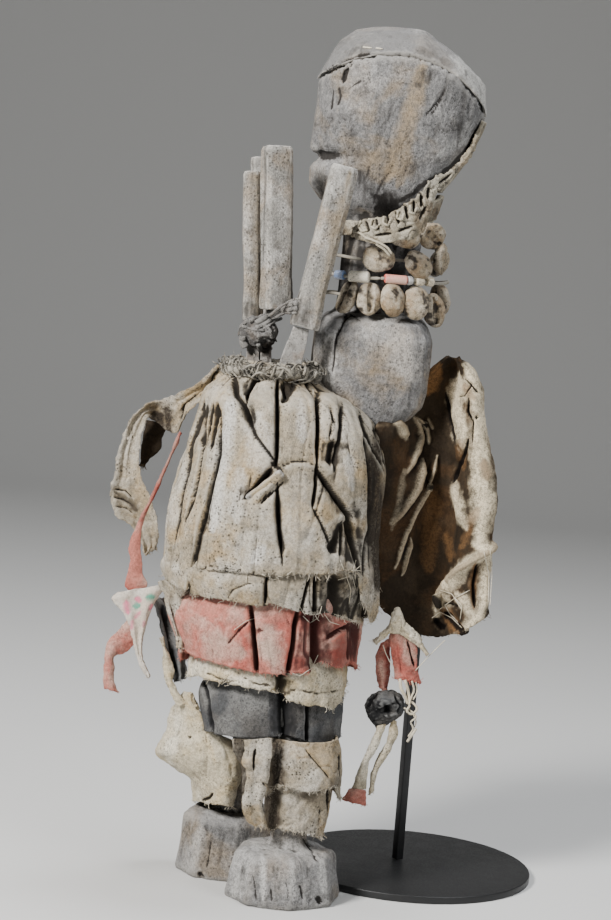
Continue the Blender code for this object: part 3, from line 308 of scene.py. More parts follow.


# Finishes. The stains have base, pale, tint and grime colours, the scale of their clouds and the shares of
# the last three. "dirt" lies in the hollows as grime and painted shade, and "worn" on what stands proud, in
# the shares of "hollow". "streak" and "chalk" colour the strokes that a piece is painted with, which are real
# marks and print, and also painted shade and painted highlights. Grain has a scale and a stretch, weave a
# pitch in metres and a wander, pits a scale and a share
finishes = {
    "wood": {
        "base": (0.150, 0.147, 0.145), "pale": (0.27, 0.265, 0.26), "tint": (0.27, 0.19, 0.10),
        "grime": (0.05, 0.045, 0.042), "scale": 22, "shares": (0.65, 0.40, 0.65), "specks": 1.2,
        "soilAndShade": (0.02, 0.017, 0.015), "worn": (0.34, 0.33, 0.31), "hollow": (0.95, 0.45), "dust": 0.35,
        "streakAndPaintedLight": (0.27, 0.20, 0.12), "chalkAndPaintedLight": (0.50, 0.49, 0.47), "rough": 0.88,
        "grain": (260, (1, 1, 0.10)), "pits": (420, 0.45), "bump": 0.75,
    },
    "handleWood": {
        "base": (0.23, 0.22, 0.20), "pale": (0.40, 0.385, 0.36), "tint": (0.26, 0.19, 0.12),
        "grime": (0.07, 0.06, 0.05), "scale": 34, "shares": (0.7, 0.50, 0.7), "specks": 1.1,
        "soilAndShade": (0.03, 0.026, 0.022), "worn": (0.50, 0.48, 0.44), "hollow": (0.9, 0.6), "dust": 0.3,
        "streakAndPaintedLight": (0.11, 0.09, 0.07), "chalkAndPaintedLight": (0.42, 0.33, 0.20), "rough": 0.85,
        "grain": (420, (1, 1, 0.06)), "pits": (450, 0.7), "bump": 0.7,
    },
    # Its near-black stroke colour is painted shade: in the grooves of folds, in the gaps between panels and
    # on sides that lie in shade.
    "canvas": {
        "base": (0.30, 0.252, 0.180), "pale": (0.50, 0.47, 0.41), "tint": (0.37, 0.265, 0.135),
        "grime": (0.13, 0.11, 0.08), "scale": 26, "shares": (0.75, 0.70, 0.6), "specks": 1.0,
        "soilAndShade": (0.018, 0.014, 0.010), "worn": (0.50, 0.46, 0.38), "hollow": (0.97, 0.45), "dust": 0.25,
        "streakAndPaintedLight": (0.035, 0.026, 0.018), "chalkAndPaintedLight": (0.62, 0.61, 0.58), "rough": 0.95, "weave": (0.0010, 0.35),
        "pits": (420, 0.8), "bump": 0.6,
    },
    # Its base is darker than the cloth's own brown, to stand for the deep shade inside the sleeve: partly
    # painted shade. Its pale stroke colour gives the rim's cream and painted highlights, and its rusty one
    # painted highlights.
    "brownCloth": {
        "base": (0.026, 0.018, 0.011), "pale": (0.075, 0.055, 0.035), "tint": (0.070, 0.036, 0.015),
        "grime": (0.014, 0.010, 0.007), "scale": 24, "shares": (0.3, 0.6, 0.6), "specks": 0.8,
        "soilAndShade": (0.006, 0.004, 0.003), "worn": (0.24, 0.185, 0.12), "hollow": (0.98, 0.7),
        "streakAndPaintedLight": (0.68, 0.585, 0.42), "chalkAndPaintedLight": (0.19, 0.10, 0.042), "dust": 0.05, "specular": 0.12,
        "rough": 0.8, "weave": (0.0009, 0.4), "pits": (500, 0.3), "bump": 0.4,
    },
    "redCloth": {
        "base": (0.42, 0.150, 0.115), "pale": (0.52, 0.36, 0.29), "tint": (0.36, 0.055, 0.04),
        "grime": (0.16, 0.07, 0.055), "scale": 30, "shares": (0.80, 0.50, 0.5), "specks": 0.9,
        "soilAndShade": (0.05, 0.012, 0.010), "worn": (0.50, 0.13, 0.09), "hollow": (0.95, 0.5), "dust": 0.2,
        "streakAndPaintedLight": (0.17, 0.025, 0.018), "chalkAndPaintedLight": (0.52, 0.41, 0.33), "rough": 0.95, "weave": (0.0010, 0.35),
        "pits": (500, 0.3), "bump": 0.45,
    },
    "darkCloth": {
        "base": (0.065, 0.067, 0.070), "pale": (0.175, 0.172, 0.165), "tint": (0.105, 0.093, 0.080),
        "grime": (0.025, 0.025, 0.026), "scale": 30, "shares": (0.75, 0.5, 0.5), "specks": 1.1,
        "soilAndShade": (0.008, 0.008, 0.009), "worn": (0.20, 0.20, 0.195), "hollow": (0.95, 0.6), "dust": 0.2,
        "streakAndPaintedLight": (0.012, 0.012, 0.013), "rough": 0.92, "weave": (0.0008, 0.3), "pits": (500, 0.6),
        "bump": 0.5,
    },
    "paleCloth": {
        "base": (0.52, 0.455, 0.33), "pale": (0.68, 0.64, 0.54), "tint": (0.52, 0.40, 0.21),
        "grime": (0.17, 0.14, 0.10), "scale": 28, "shares": (0.7, 0.65, 0.5), "specks": 0.9,
        "soilAndShade": (0.03, 0.023, 0.015), "worn": (0.60, 0.56, 0.47), "hollow": (0.95, 0.5), "dust": 0.2,
        "rough": 0.95, "weave": (0.0011, 0.35), "pits": (450, 0.6), "bump": 0.5,
    },
    "printCloth": {
        "base": (0.55, 0.50, 0.43), "pale": (0.62, 0.58, 0.52), "tint": (0.52, 0.40, 0.30),
        "grime": (0.25, 0.20, 0.15), "scale": 40, "shares": (0.5, 0.4, 0.3), "specks": 0.5,
        "soilAndShade": (0.05, 0.04, 0.03), "worn": (0.65, 0.60, 0.53), "hollow": (0.8, 0.4), "dust": 0.1,
        "streakAndPaintedLight": (0.60, 0.17, 0.24), "chalkAndPaintedLight": (0.08, 0.30, 0.21), "rough": 0.95, "weave": (0.0009, 0.3),
        "pits": (450, 0.3), "bump": 0.4,
    },
    "hide": {
        "base": (0.122, 0.119, 0.116), "pale": (0.215, 0.212, 0.208), "tint": (0.20, 0.155, 0.105),
        "grime": (0.05, 0.045, 0.040), "scale": 24, "shares": (0.6, 0.4, 0.55), "specks": 0.8,
        "soilAndShade": (0.02, 0.017, 0.014), "worn": (0.32, 0.305, 0.28), "hollow": (0.95, 0.55), "dust": 0.35,
        "streakAndPaintedLight": (0.055, 0.050, 0.046), "chalkAndPaintedLight": (0.42, 0.41, 0.38), "rough": 0.85,
        "grain": (330, (1, 1, 0.25)), "pits": (480, 0.5), "bump": 0.45,
    },
    "leather": {
        "base": (0.23, 0.20, 0.145), "pale": (0.40, 0.37, 0.30), "tint": (0.17, 0.12, 0.07),
        "grime": (0.05, 0.04, 0.03), "scale": 60, "shares": (0.7, 0.6, 0.9), "specks": 1.0,
        "soilAndShade": (0.02, 0.015, 0.010), "worn": (0.52, 0.47, 0.36), "hollow": (0.97, 0.6), "dust": 0.2,
        "rough": 0.8, "pits": (600, 0.5), "bump": 0.5,
    },
    "resin": {
        "base": (0.12, 0.115, 0.11), "pale": (0.24, 0.235, 0.23), "tint": (0.13, 0.10, 0.075),
        "grime": (0.03, 0.027, 0.025), "scale": 60, "shares": (0.6, 0.5, 0.6), "specks": 1.0,
        "soilAndShade": (0.012, 0.010, 0.009), "worn": (0.30, 0.29, 0.27), "hollow": (0.97, 0.6), "dust": 0.3,
        "rough": 0.85, "pits": (700, 0.7), "bump": 0.8,
    },
    "cowrie": {
        "base": (0.28, 0.225, 0.150), "pale": (0.46, 0.41, 0.33), "tint": (0.22, 0.145, 0.075),
        "grime": (0.045, 0.032, 0.022), "scale": 75, "shares": (0.7, 0.75, 0.95), "specks": 1.0,
        "soilAndShade": (0.02, 0.014, 0.009), "worn": (0.58, 0.52, 0.42), "hollow": (0.97, 0.6), "dust": 0.25,
        "rough": 0.55, "pits": (700, 0.6), "bump": 0.35,
    },
    "string": {
        "base": (0.135, 0.125, 0.105), "pale": (0.28, 0.27, 0.245), "tint": (0.14, 0.105, 0.065),
        "grime": (0.04, 0.034, 0.028), "scale": 80, "shares": (0.6, 0.5, 0.8), "specks": 1.0,
        "soilAndShade": (0.015, 0.012, 0.009), "worn": (0.48, 0.44, 0.36), "hollow": (0.9, 0.5), "dust": 0.2,
        "rough": 0.95, "pits": (900, 0.5), "bump": 0.6,
    },
    "iron": {
        "base": (0.22, 0.21, 0.195), "pale": (0.33, 0.32, 0.30), "tint": (0.20, 0.13, 0.08),
        "grime": (0.07, 0.06, 0.05), "scale": 60, "shares": (0.6, 0.35, 0.5), "specks": 0.7,
        "soilAndShade": (0.02, 0.015, 0.012), "worn": (0.40, 0.39, 0.37), "hollow": (0.9, 0.6), "dust": 0.3,
        "rough": 0.72, "grain": (420, (1, 1, 0.15)), "pits": (600, 0.6), "bump": 0.4,
    },
    "steel": {
        "base": (0.010, 0.011, 0.013), "pale": (0.022, 0.023, 0.025), "tint": (0.016, 0.016, 0.016),
        "grime": (0.012, 0.012, 0.012), "scale": 30, "shares": (0.5, 0.3, 0.3), "specks": 0.4,
        "soilAndShade": (0.01, 0.01, 0.01), "worn": (0.06, 0.06, 0.06), "hollow": (0.5, 0.5), "dust": 0.05,
        "rough": 0.42, "pits": (900, 0.15), "bump": 0.1, "metallic": 0.6,
    },
}


def makeFinish(name, look):
    material = bpy.data.materials.new(name)
    material.use_nodes = True
    tree = material.node_tree
    shader = tree.nodes["Principled BSDF"]
    where = add(tree, "TexCoord").outputs["Object"]
    hollow = attribute(tree, "hollow")
    base, palest, tinted, grimy, soilAndShade, worn = (
        rgb(*look[label]) for label in ("base", "pale", "tint", "grime", "soilAndShade", "worn"))
    pale, tint, grime = look["shares"]
    stains = add(tree, "Group", node_tree=groups["stains"])
    for label, value in (("Base", base), ("Pale", palest), ("Tint", tinted), ("Grime", grimy),
                         ("Scale", look["scale"]), ("Pale Share", pale), ("Tint Share", tint),
                         ("Grime Share", grime), ("Specks", look["specks"])):
        stains.inputs[label].default_value = value
    tree.links.new(where, stains.inputs["Vector"])
    colour, crust = stains.outputs["Color"], stains.outputs["Height"]
    height = times(tree, crust, 0.30)
    paintedShadeMark = None
    for label in ("streakAndPaintedLight", "chalkAndPaintedLight"):
        if label in look:
            share = attribute(tree, label)
            paintedShadeMark = share if max(look[label]) < 0.1 else paintedShadeMark      # a near-black stroke, which paints shade, takes no dust
            share = times(tree, share, ranged(tree, crust, 0.35, 1.2, 0.45, 1.1))
            painting = shaded(tree, rgb(*look[label]), ranged(tree, crust, 0.6, 1.4, 0.75, 1.2))
            colour = blended(tree, share, colour, painting)
    if "grain" in look:
        scale, stretch = look["grain"]
        grain = add(tree, "Group", {"Vector": where, "Scale": scale, "Stretch": stretch},
                    node_tree=groups["fibres"])
        height = sums(tree, "ADD", height, times(tree, grain.outputs["Height"], 0.5))
        colour = blended(tree, times(tree, grain.outputs["Splits"], 0.55), colour, soilAndShade)
    if "weave" in look:
        pitch, wander = look["weave"]
        along = add(tree, "UVMap", uv_map="threads").outputs[0]
        weave = add(tree, "Group", {"Vector": along, "Pitch": pitch, "Wander": wander},
                    node_tree=groups["weave"]).outputs["Height"]
        height = sums(tree, "ADD", height, times(tree, weave, 0.16))
        # The weave's low places are painted darker as well: painted shade between the threads.
        colour = shaded(tree, colour, ranged(tree, weave, -1.0, 1.0, 0.80, 1.08))
    deepShare, proudShare = look["hollow"]
    colour = add(tree, "Group", {"Color": colour, "Hollow": hollow, "Soil And Shade": soilAndShade, "Worn": worn,
                                 "Soil And Shade Share": deepShare, "Worn Share": proudShare},
                 node_tree=groups["hollow"]).outputs["Color"]
    scale, share = look["pits"]
    pits = add(tree, "Group", {"Vector": where, "Scale": scale, "Share": share},
               node_tree=groups["pits"]).outputs[0]
    colour = blended(tree, pits, colour, soilAndShade)
    height = sums(tree, "SUBTRACT", height, times(tree, pits, 0.7))
    dusty = rgb(*[min(1.0, c * 1.25 + 0.02) for c in look["pale"]])
    settled = ranged(tree, hollow, 0.85, 0.55, 0.0, look["dust"])
    if paintedShadeMark is not None:
        settled = times(tree, settled, ranged(tree, paintedShadeMark, 0.7, 0.1))
    dust = add(tree, "Group", {"Vector": where, "Color": colour, "Dust": dusty, "Share": settled},
               node_tree=groups["dust"])
    tree.links.new(dust.outputs["Color"], shader.inputs["Base Color"])
    rough = look["rough"]
    rough = ranged(tree, crust, 0.6, 1.4, rough - 0.08, min(1.0, rough + 0.08))
    tree.links.new(rough, shader.inputs["Roughness"])
    shader.inputs["Metallic"].default_value = look.get("metallic", 0.0)
    shader.inputs["Specular IOR Level"].default_value = look.get("specular", 0.3)
    bump = add(tree, "Bump", {"Height": height, "Strength": look["bump"], "Distance": 0.0018})
    tree.links.new(bump.outputs[0], shader.inputs["Normal"])
    return material


slots = {"handleWood": "handle_wood", "brownCloth": "brown_cloth", "redCloth": "red_cloth",
         "darkCloth": "dark_cloth", "paleCloth": "pale_cloth", "printCloth": "print_cloth"}
slots = {name: slots.get(name, name) for name in finishes}
beadGlass = {"blueBead": (0.16, 0.24, 0.42), "whiteBead": (0.72, 0.69, 0.58), "coralBead": (0.62, 0.13, 0.10),
             "greyBead": (0.42, 0.42, 0.42), "paleBead": (0.60, 0.52, 0.38)}
for name, colour in beadGlass.items():
    finishes[name] = {**finishes["cowrie"], "base": colour, "pale": tuple(c * 1.2 for c in colour),
                      "tint": tuple(c * 0.8 for c in colour), "shares": (0.5, 0.4, 0.35), "rough": 0.30,
                      "specular": 0.5}
    slots[name] = "beads"
materials = {name: makeFinish(name, look) for name, look in finishes.items()}
print("materials are made:", len(materials))


# Meshes as arrays
def pointsOf(thing):
    flat = np.empty(len(thing.data.vertices) * 3)
    thing.data.vertices.foreach_get("co", flat)
    return flat.reshape(-1, 3)


def normalsOf(thing):
    flat = np.empty(len(thing.data.vertices) * 3)
    thing.data.vertices.foreach_get("normal", flat)
    return flat.reshape(-1, 3)


def cornersOf(thing):
    corner = np.empty(len(thing.data.loops), dtype=np.int64)
    thing.data.loops.foreach_get("vertex_index", corner)
    return corner


def movePoints(thing, places):
    thing.data.vertices.foreach_set("co", np.asarray(places, float).ravel())
    thing.data.update()


def cloud(places, size, seed=0, octaves=3):
    # Smooth random heights from -1 to 1 over places, with lumps of that size
    total, weight = np.zeros(len(places)), 0.0
    for octave in range(octaves):
        spots = np.asarray(places) / size * 2 ** octave + seed * 11.7
        cell = np.floor(spots).astype(np.int64)
        part = spots - cell
        part = part * part * (3 - 2 * part)
        height = np.zeros(len(places))
        for corner in np.ndindex(2, 2, 2):
            c = cell + corner
            # Every cell corner gets a number of its own, which is stirred until it looks random
            stir = (c[:, 0] * 73856093) ^ (c[:, 1] * 19349663) ^ (c[:, 2] * 83492791)
            stir = stir ^ (seed * 40503 + octave * 977)
            stir = ((stir ^ (stir >> 13)) * 1274126177) & 0xFFFFFFFF
            stir = ((stir ^ (stir >> 15)) * 2246822519) & 0xFFFFFFFF
            near = np.prod(np.where(corner, part, 1 - part), axis=1)
            height += near * (((stir ^ (stir >> 16)) & 0xFFFFFF) / 0xFFFFFF * 2 - 1)
        total += height * 0.5 ** octave
        weight += 0.5 ** octave
    return total / weight


def proudness(thing, rounds):
    # How far each point stands in (positive) or out (negative) of its smoothed surroundings
    mesh = thing.data
    pairs = np.empty(len(mesh.edges) * 2, dtype=np.int64)
    mesh.edges.foreach_get("vertices", pairs)
    a, b = pairs.reshape(-1, 2).T
    places = pointsOf(thing)
    count = np.bincount(a, minlength=len(places)) + np.bincount(b, minlength=len(places))
    smooth = places.copy()
    for _ in range(rounds):
        for k in range(3):
            near = np.bincount(a, smooth[b, k], len(places)) + np.bincount(b, smooth[a, k], len(places))
            smooth[:, k] = 0.5 * smooth[:, k] + 0.5 * near / np.maximum(count, 1)
    return np.einsum("ij,ij->i", smooth - places, normalsOf(thing))


def mark(thing, label, values):
    thing.data.attributes.new(label, "FLOAT", "POINT").data.foreach_set("value", values.astype(np.float32))


def markHollows(thing, depth=0.0006, rounds=14, extra=0.0):
    # 0.5 where the surface is even, more where it lies deep and less where it stands proud
    mark(thing, "hollow", np.clip(0.5 + proudness(thing, rounds) / depth * 0.5 + extra, 0, 1))


def threadMap(thing):
    # A map in metres, laid on from the three ways that the dress looks
    mesh = thing.data
    places, ways = pointsOf(thing), normalsOf(thing)
    axes = np.stack([sideWay, backWay, upWay])
    local, facing = places @ axes.T, np.abs(ways @ axes.T).argmax(1)
    flat = np.where((facing == 0)[:, None], local[:, [1, 2]],
                    np.where((facing == 1)[:, None], local[:, [0, 2]], local[:, [0, 1]]))
    flat = flat[cornersOf(thing)]
    mesh.uv_layers.new(name="threads").data.foreach_set("uv", flat.astype(np.float32).ravel())


def applyStep(thing, kind, **values):
    step = thing.modifiers.new(kind.lower(), kind)
    for name, value in values.items():
        setattr(step, name, value)
    bpy.ops.object.select_all(action="DESELECT")
    bpy.context.view_layer.objects.active = thing
    thing.select_set(True)
    bpy.ops.object.modifier_apply(modifier=step.name)
    thing.select_set(False)


def treeOf(*things):
    # One search tree over several meshes, all of which lie at the origin
    places, faces = [], []
    for thing in things:
        start = len(places)
        places += [tuple(p) for p in pointsOf(thing)]
        faces += [[start + k for k in face.vertices] for face in thing.data.polygons]
    return BVHTree.FromPolygons(places, faces)


def seenOn(tree, u, v):
    # Where the photograph's sight line through u, v first meets a surface
    return tree.ray_cast(cameraPlace, sightRay(u, v).normalized())[0]


def addThing(name, mesh):
    thing = bpy.data.objects.new(name, mesh)
    bpy.context.collection.objects.link(thing)
    return thing


def finished(thing, finish, nodes, body="root"):
    # Every piece gets its finish here and rides on its body, and the nodes that it stands for are hidden
    thing.data.materials.clear()
    thing.data.materials.append(materials[finish])
    thing.data.shade_smooth()
    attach(thing, body)
    if nodes:
        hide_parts(*nodes)
    return thing


def copyOf(node, name):
    thing = addThing(name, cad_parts[node].data.copy())
    shape = bmesh.new()
    shape.from_mesh(thing.data)
    bmesh.ops.remove_doubles(shape, verts=shape.verts, dist=1e-6)
    shape.to_mesh(thing.data)
    shape.free()
    thing.data.materials.clear()
    return thing


def linesApart(places, path):
    # Distance of places to a path, the side they lie on and how far along they are
    best, side, along = np.full(len(places), 1e9), np.zeros(len(places)), np.zeros(len(places))
    for k, (a, b) in enumerate(zip(path[:-1], path[1:])):
        way = b - a
        share = np.clip(((places - a) @ way) / (way @ way), 0, 1)
        apart = places - (a + share[:, None] * way)
        gap = np.linalg.norm(apart, axis=1)
        near = gap < best
        best[near] = gap[near]
        along[near] = (k + share[near]) / (len(path) - 1)
        if places.shape[1] == 2:
            side[near] = np.sign(way[0] * apart[near, 1] - way[1] * apart[near, 0])
    return best, side, along


def inPhoto(places):
    # The pixel of the photograph that shows each place
    reach = places - eyeAt
    deep = reach @ eyeAhead
    w, h = photo["size"]
    return np.c_[w / 2 + photo["focal"] * (reach @ eyeRight) / deep,
                 h / 2 - photo["focal"] * (reach @ eyeUp) / deep]


cutReach, cutLip = 26, 8.0           # how many pixels a cut's window and its raised lip reach


def pathOf(pixels):
    # Paths are written as u, v, u, v and so on, in the photograph's pixels
    return np.array(pixels, float).reshape(-1, 2)


def engraved(places, ways, marks):
    # How far in the marks lie. Each has a depth in millimetres, half a width in the photograph's pixels, the
    # height of a lip along one side, and a path of pixels
    at = inPhoto(places)
    toEye = eyeAt - places
    toEye /= np.linalg.norm(toEye, axis=1)[:, None]
    facing = np.clip((ways * toEye).sum(1) * 3, 0, 1)
    wobble = cloud(places, 0.006, 5, 2) * 0.9 + cloud(places, 0.002, 6, 2) * 0.5
    deep = np.zeros(len(places))
    for depth, width, lip, path in marks:
        path = pathOf(path)
        near = ((at > path.min(0) - cutReach) & (at < path.max(0) + cutReach)).all(1) & (facing > 0)
        gap, side, along = linesApart(at[near], path)
        gap = np.abs(gap + wobble[near])
        fade = np.clip(6 * along * (1 - along) + 0.1, 0, 1) ** 0.7
        thin = width * (0.45 + 0.55 * fade) * (1 + 0.35 * wobble[near])
        cut = np.exp(-(gap / thin) ** 2) + 0.30 * np.exp(-(gap / (4.0 * width)) ** 2)
        raised = np.exp(-(gap / cutLip) ** 2) * np.clip(gap / 1.2, 0, 1) * (side > 0)
        deep[near] += fade * (depth * cut - lip * raised) * mm
    return deep * facing


def painted(places, strokes, ways=None):
    # How strongly strokes colour places. Each has half a width in pixels, a strength and a path of pixels.
    # Where the surface's ways are given, only what faces the camera is coloured
    at = inPhoto(places)
    ragged = 0.55 * cloud(places, 0.010, 8, 4) + 0.35 * cloud(places, 0.003, 9, 3)
    shares = np.zeros(len(places))
    for width, strength, path in strokes:
        gap, _, along = linesApart(at, pathOf(path))
        taper = width * (0.45 + 0.55 * np.clip(8 * along * (1 - along), 0, 1))
        shares = np.maximum(shares, strength * np.clip(1.45 - 1.15 * (gap + ragged * width) / taper, 0, 1))
    if ways is not None:
        shares *= ((ways * (eyeAt - places)).sum(1) > 0)
    return shares


def weather(thing, lumps, fray=0.0, seed=1):
    # Lumps and dents along the normals: height, size, stretch. Thin edges are frayed as well
    places = pointsOf(thing)
    edge = np.clip(-proudness(thing, 6) / 0.0005, 0, 1) if fray else 0.0
    ways = normalsOf(thing)
    move = np.zeros(len(places))
    for k, (height, size, stretch) in enumerate(lumps):
        move += height * cloud(places * stretch, size, seed + k)
    if fray:
        move += fray * edge * cloud(places, 0.004, seed + 31)
    movePoints(thing, places + ways * move[:, None])


upright, level, pleated = (1, 1, 0.3), (1, 1, 1), (1, 1, 0.10)      # how lumps are stretched


# Pieces that are the part's own solids, cut fine and then weathered: node, size of the cutting, rounds of
# smoothing, lumps (height, size, stretch), how far the edges fray, finish
weathered = {
    "carvedFigure": ("carved_figure", 0.0021, 2, ((0.0014, 0.030, level), (0.0010, 0.008, upright),
                                                  (0.0005, 0.0035, upright)), 0, "wood"),
    "hideCap": ("hide_cap", 0.0010, 2, ((0.0008, 0.020, level), (0.0004, 0.006, level),
                                        (0.0002, 0.0025, level)), 0.0008, "hide"),
    "lacedCollar": ("laced_collar", 0.0006, 1, ((0.0010, 0.007, level), (0.0006, 0.003, level)), 0.0032,
                    "leather"),
    "napeStrap": ("nape_strap", 0.0006, 1, ((0.0006, 0.010, level), (0.0003, 0.004, level)), 0.0008,
                  "leather"),
    "resinBinding": ("resin_binding", 0.0006, 1, ((0.0020, 0.008, level), (0.0012, 0.0035, level)), 0,
                     "resin"),
    "seamPeg": ("seam_peg", 0.0005, 1, ((0.0005, 0.004, (1, 1, 0.4)),), 0.0004, "handleWood"),
}
for number in range(1, 5):
    weathered[f"handle{number}"] = (f"knife_handle_{number}", 0.0007, 1,
                                    ((0.0006, 0.010, upright), (0.0003, 0.003, upright)), 0.0008,
                                    "handleWood")
    weathered[f"tang{number}"] = (f"knife_tang_{number}", 0.0005, 1,
                                  ((0.0004, 0.006, level), (0.0002, 0.002, level)), 0.0003, "iron")


def refined(thing, windows):
    # Faces seen in these windows of the photograph are cut in four
    shape = bmesh.new()
    shape.from_mesh(thing.data)
    middles = np.array([face.calc_center_median() for face in shape.faces])
    ways = np.array([face.normal for face in shape.faces])
    at = inPhoto(middles)
    seen = ((ways * (eyeAt - middles)).sum(1) > 0)
    inside = np.zeros(len(middles), bool)
    for left, top, right, bottom in windows:
        inside |= (at[:, 0] > left) & (at[:, 0] < right) & (at[:, 1] > top) & (at[:, 1] < bottom)
    edges = {edge for face, chosen in zip(shape.faces, seen & inside) if chosen for edge in face.edges}
    bmesh.ops.subdivide_edges(shape, edges=list(edges), cuts=1, use_grid_fill=True)
    shape.to_mesh(thing.data)
    shape.free()
    thing.data.update()


def swollenTo(places, ways, node, above, reach, rise):
    # Rises towards the edge of the piece that lies over it, so that no step is left there
    over = copyOf(node, "over")
    tree = treeOf(over)
    bpy.data.objects.remove(over)
    high = places[:, 2] > above
    lift = np.zeros(len(places))
    for k in np.flatnonzero(high):
        place, way = Vector(places[k]), Vector(ways[k])
        if tree.ray_cast(place + way * 0.0002, way, 0.010)[0] is None:
            near = tree.find_nearest(place, reach)[3]
            if near is not None:
                lift[k] = rise * (1 - near / reach) ** 1.5
    return places + ways * lift[:, None]


